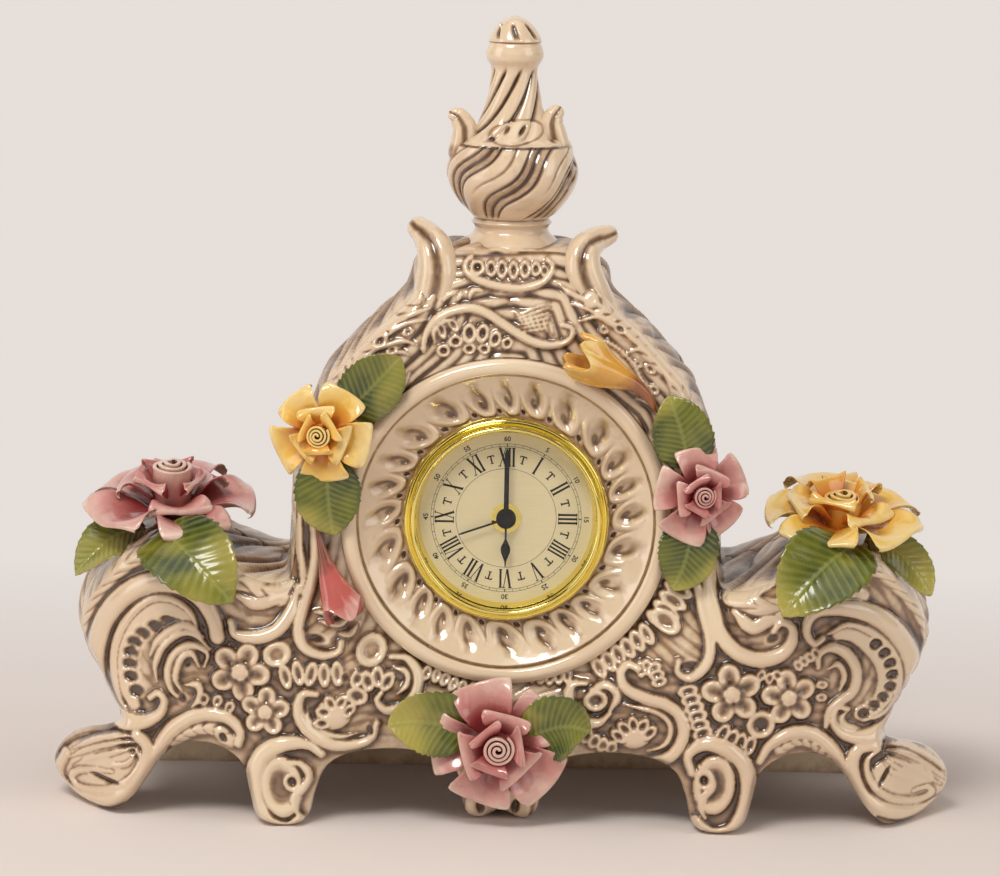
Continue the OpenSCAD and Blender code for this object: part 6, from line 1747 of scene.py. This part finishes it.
def numeral_parts(text, high, squeeze):
    """A Roman numeral on a line, centred on x = 0."""
    letters = [letter_strokes(letter, high) for letter in text]
    pen = -sum(width for _, width in letters) / 2
    parts = []
    for bars, width in letters:
        for bar in bars:
            corners, faces = bar_shape(*bar)
            corners[:, 0] = (corners[:, 0] + pen + width / 2) * squeeze
            parts.append((corners, faces))
        pen += width
    return parts


def turned_out(flat, degrees, distance):
    """Moves a drawing out from the dial's axis and turns it clockwise with its place."""
    c, s = cos_sin(degrees)
    x, z = flat[:, 0], flat[:, 1] + distance
    return np.stack([x * c + z * s, z * c - x * s], 1)


def turned_bars(bars, degrees):
    """Bars that are drawn at twelve o'clock, turned to their place."""
    shapes = [bar_shape(*bar) for bar in bars]
    return [(turned_out(corners, degrees, 0), faces) for corners, faces in shapes]


def digits_mesh(text, high):
    """Flat triangles of a short number, from the built-in typeface, centred on the origin."""
    curve = bpy.data.curves.new("digits", "FONT")
    curve.body = text
    curve.size = high * 1.4
    curve.offset = 0.03 * high
    curve.align_x = "CENTER"
    curve.align_y = "CENTER"
    curve.resolution_u = 6
    carrier = bpy.data.objects.new("digits", curve)
    mesh = carrier.to_mesh()
    mesh.calc_loop_triangles()
    corners = np.array([v.co[:2] for v in mesh.vertices])
    faces = np.array([t.vertices[:] for t in mesh.loop_triangles])
    carrier.to_mesh_clear()
    bpy.data.objects.remove(carrier)
    bpy.data.curves.remove(curve)
    return corners, faces


def print_piece(name, parts, depth):
    """Printed marks as one flat piece that faces the front."""
    points, faces, _ = join_parts([(xyz(p[:, 0], depth, DIAL_Z + p[:, 1]), f, {}) for p, f in parts])
    a, b, c = (points[faces[:, k]] for k in range(3))
    facing = np.cross(b - a, c - a)[:, 1]
    faces = np.where((facing > 0)[:, None], faces[:, ::-1], faces)
    new_piece(name, points, faces, "insert", (), "ink", smooth=False)


def dial_print():
    """Minute ring with its ticks, the numbers outside it, the hours and the inner circle."""
    depth = -29.8 - sizes().print_height / MM
    rings = [flat_ring(30.95, 31.1), flat_ring(29.9, 30.05), flat_ring(20.6, 20.75)]
    for minute in range(60):
        wide = 0.42 if minute % 5 == 0 else 0.16
        rings += turned_bars([(0, 29.95, 0, 31.0, wide)], 6 * minute)
    print_piece("minute_ring", rings, depth)
    numbers = []
    for k in range(1, 13):
        corners, faces = digits_mesh(str(5 * k), 2.0)
        numbers.append((turned_out(corners, 30 * k, 33.0), faces))
    print_piece("minute_numbers", numbers, depth)
    hours = []
    names = ["I", "II", "III", "IIII", "V", "VI", "VII", "VIII", "IX", "X", "XI", "XII"]
    for k, text in enumerate(names):
        squeeze = 0.56 if len(text) > 3 else 0.64
        for corners, faces in numeral_parts(text, 7.9, squeeze):
            hours.append((turned_out(corners, 30 * (k + 1), 21.5), faces))
    mark = [(0, 23.6, 0, 26.8, 0.62), (-1.3, 26.6, 1.3, 26.6, 0.5), (-1.4, 25.9, -1.2, 26.8, 0.36),
            (1.4, 25.9, 1.2, 26.8, 0.36), (-0.7, 23.5, 0.7, 23.5, 0.34)]
    for k in range(12):
        hours += turned_bars(mark, 30 * k + 15)
    print_piece("hour_numerals", hours, depth)


# Finishes of the solids that are shown as they are
NODE_FINISHES = {
    "brass": ["centre_nut", "nut_washer", "minute_arbor", "buzzer", "reflector_ring"],
    "steel": ["cover_screws", "stator", "quartz_crystal", "contact_plus", "contact_minus",
              "rotor"],
    "hand": ["minute_hand", "hour_hand", "alarm_hand", "hand_cap"],
    "rubber": ["grip_ring"],
    "black_plastic": ["insert_can", "movement_case", "movement_cover", "time_knob", "alarm_knob",
                      "middle_plate"],
    "white_plastic": ["motion_wheel", "hour_wheel", "alarm_wheel", "intermediate_wheel", "seconds_wheel",
                      "third_wheel", "centre_wheel", "alarm_switch"],
    "copper": ["coil"],
    "board": ["circuit_board"],
    "battery": ["battery"],
    "dial": ["dial"],
}


def node_finishes():
    """Puts those finishes on the solids."""
    for name, listed in NODE_FINISHES.items():
        for node in listed:
            mesh = nodes[node].data
            mesh.materials.clear()
            mesh.materials.append(finish(name))


# Stage

def on_stage(name, data):
    """An object that belongs to the scene and not to the clock."""
    piece = bpy.data.objects.new(name, data)
    bpy.context.scene.collection.objects.link(piece)
    return piece


def lamp(name, place, target, size, power, tint):
    """A soft rectangular light that faces its target."""
    data = bpy.data.lights.new(name, "AREA")
    data.shape = "RECTANGLE"
    data.size, data.size_y = size
    data.energy = power
    data.color = tint
    piece = on_stage(name, data)
    piece.location = place
    piece.rotation_euler = (Vector(target) - Vector(place)).to_track_quat("-Z", "Y").to_euler()


def build_stage():
    """Paper sweep, soft lights, pale world and the camera."""
    turn = np.radians(np.linspace(0, 90, 19))
    profile = [(-6.0, 0.0)] + [(2.4 + 0.8 * math.sin(a), 0.8 - 0.8 * math.cos(a)) for a in turn]
    profile += [(3.2, 5.0)]
    paper = bpy.data.meshes.new("paper_sweep")
    paper.from_pydata([(x, y, z) for y, z in profile for x in (-6.0, 6.0)], [],
                      grid_faces(len(profile), 2, flip=True).tolist())
    paper.polygons.foreach_set("use_smooth", [True] * len(paper.polygons))
    paper.materials.append(finish("paper"))
    on_stage("paper_sweep", paper)
    lamp("key_lamp", (-0.55, -1.1, 1.75), (0.0, 0.0, 0.1), (0.8, 0.6), 22.0, (1.0, 0.97, 0.93))
    lamp("fill_lamp", (1.5, -0.9, 0.8), (0.0, 0.0, 0.15), (1.0, 1.2), 6.0, (1.0, 0.98, 0.96))
    lamp("side_lamp", (-1.5, -0.5, 0.6), (0.0, 0.0, 0.15), (0.8, 1.2), 5.0, (1.0, 0.98, 0.96))
    world = bpy.data.worlds.new("pale_room")
    world.use_nodes = True
    tree = world.node_tree
    ground = tree.nodes["Background"]
    rays = Wire(tree, tree.nodes.new("ShaderNodeLightPath").outputs["Is Glossy Ray"])
    ways = tree.nodes.new("ShaderNodeSeparateXYZ")
    tree.links.new(tree.nodes.new("ShaderNodeTexCoord").outputs["Generated"], ways.inputs[0])
    height = Wire(tree, ways.outputs[2])
    gap = ((height - 0.3) * 9.0).clamp() * (1.0 - ((height - 0.86) * 9.0).clamp())
    above = ((height - 0.06) * 8.0).clamp() * (1.0 - gap * 0.95)
    beside = ((Wire(tree, ways.outputs[0]) * Wire(tree, ways.outputs[0]) - 0.1) * 5.0).clamp()
    above = above * (1.0 - beside * 0.85)
    ground.inputs["Color"].default_value = (0.93, 0.90, 0.88, 1.0)
    put(tree, ground.inputs["Strength"], (1.0 - rays) * 0.5 + rays * (above * 1.05 + 0.03))
    bpy.context.scene.world = world
    place, right, up, forward = camera_frame()
    data = bpy.data.cameras.new("photo_camera")
    data.sensor_width = 36.0
    data.lens = 36.0 * sizes().camera_distance / (PHOTO_SIZE[0] * sizes().pixel_pitch)
    camera = on_stage("photo_camera", data)
    pose = [[right[k], up[k], -forward[k], place[k]] for k in range(3)]
    camera.matrix_world = Matrix(pose + [[0, 0, 0, 1]])
    bpy.context.scene.camera = camera
    bpy.context.scene.view_settings.view_transform = "Standard"


# The add-on: one operator for each group of pieces

def case_bodies():
    """The whole case over one outline."""
    outline = Outline(case_outline())
    front_shell(outline)
    side_walls(outline)
    back_shell(outline)


class ClockStep:
    """What the operators share."""

    bl_options = {"REGISTER", "UNDO"}

    def execute(self, context):
        type(self).work()
        return {"FINISHED"}


class CLOCK_OT_case(ClockStep, bpy.types.Operator):
    """Build the carved front, the sides and the back of the case"""
    bl_idname = "clock.case"
    bl_label = "Case"
    work = staticmethod(case_bodies)


class CLOCK_OT_surround(ClockStep, bpy.types.Operator):
    """Build the ring and the lobed dish round the dial"""
    bl_idname = "clock.surround"
    bl_label = "Dial Surround"
    work = staticmethod(dial_surround)


class CLOCK_OT_finial(ClockStep, bpy.types.Operator):
    """Build the finial, its ears and the shoulder horns"""
    bl_idname = "clock.finial"
    bl_label = "Finial and Horns"

    @staticmethod
    def work():
        finial_body()
        horns_and_ears()


class CLOCK_OT_roses(ClockStep, bpy.types.Operator):
    """Build the five roses with their leaves"""
    bl_idname = "clock.roses"
    bl_label = "Roses and Leaves"

    @staticmethod
    def work():
        for name in ROSES:
            rose_heart(name)
            rose_petals(name)
            rose_leaves(name)


class CLOCK_OT_buds(ClockStep, bpy.types.Operator):
    """Build the two loose buds"""
    bl_idname = "clock.buds"
    bl_label = "Buds"
    work = staticmethod(buds)


class CLOCK_OT_bezel(ClockStep, bpy.types.Operator):
    """Build the brass bezel and the domed lens"""
    bl_idname = "clock.bezel"
    bl_label = "Bezel and Lens"

    @staticmethod
    def work():
        bezel_ring()
        lens_dome()


class CLOCK_OT_print(ClockStep, bpy.types.Operator):
    """Print the dial's rings, numbers and numerals"""
    bl_idname = "clock.print"
    bl_label = "Dial Print"
    work = staticmethod(dial_print)


class CLOCK_OT_finishes(ClockStep, bpy.types.Operator):
    """Give the solids that are shown as they are their finishes"""
    bl_idname = "clock.finishes"
    bl_label = "Finishes"
    work = staticmethod(node_finishes)


class CLOCK_OT_stage(ClockStep, bpy.types.Operator):
    """Build the paper sweep, the lights and the camera"""
    bl_idname = "clock.stage"
    bl_label = "Stage"
    work = staticmethod(build_stage)


STEPS = (CLOCK_OT_case, CLOCK_OT_surround, CLOCK_OT_finial, CLOCK_OT_roses, CLOCK_OT_buds,
         CLOCK_OT_bezel, CLOCK_OT_print, CLOCK_OT_finishes, CLOCK_OT_stage)


class CLOCK_PT_panel(bpy.types.Panel):
    """Settings and steps of the mantel clock"""
    bl_idname = "CLOCK_PT_panel"
    bl_label = "Porcelain Mantel Clock"
    bl_space_type = "VIEW_3D"
    bl_region_type = "UI"
    bl_category = "Clock"

    def draw(self, context):
        for group in (context.scene.clock_sizes, context.scene.clock_colours):
            box = self.layout.box()
            for key in group.bl_rna.properties.keys():
                if key not in ("rna_type", "name"):
                    box.prop(group, key)
        for step in STEPS:
            self.layout.operator(step.bl_idname)


CLASSES = (ClockSizes, ClockColours, *STEPS, CLOCK_PT_panel)


def register():
    for item in CLASSES:
        bpy.utils.register_class(item)
    bpy.types.Scene.clock_sizes = PointerProperty(type=ClockSizes)
    bpy.types.Scene.clock_colours = PointerProperty(type=ClockColours)


def unregister():
    del bpy.types.Scene.clock_colours
    del bpy.types.Scene.clock_sizes
    for item in reversed(CLASSES):
        bpy.utils.unregister_class(item)


def main():
    """Registers the add-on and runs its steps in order."""
    register()
    for step in STEPS:
        group, name = step.bl_idname.split(".")
        getattr(getattr(bpy.ops, group), name)()


if __name__ == "__main__":
    main()
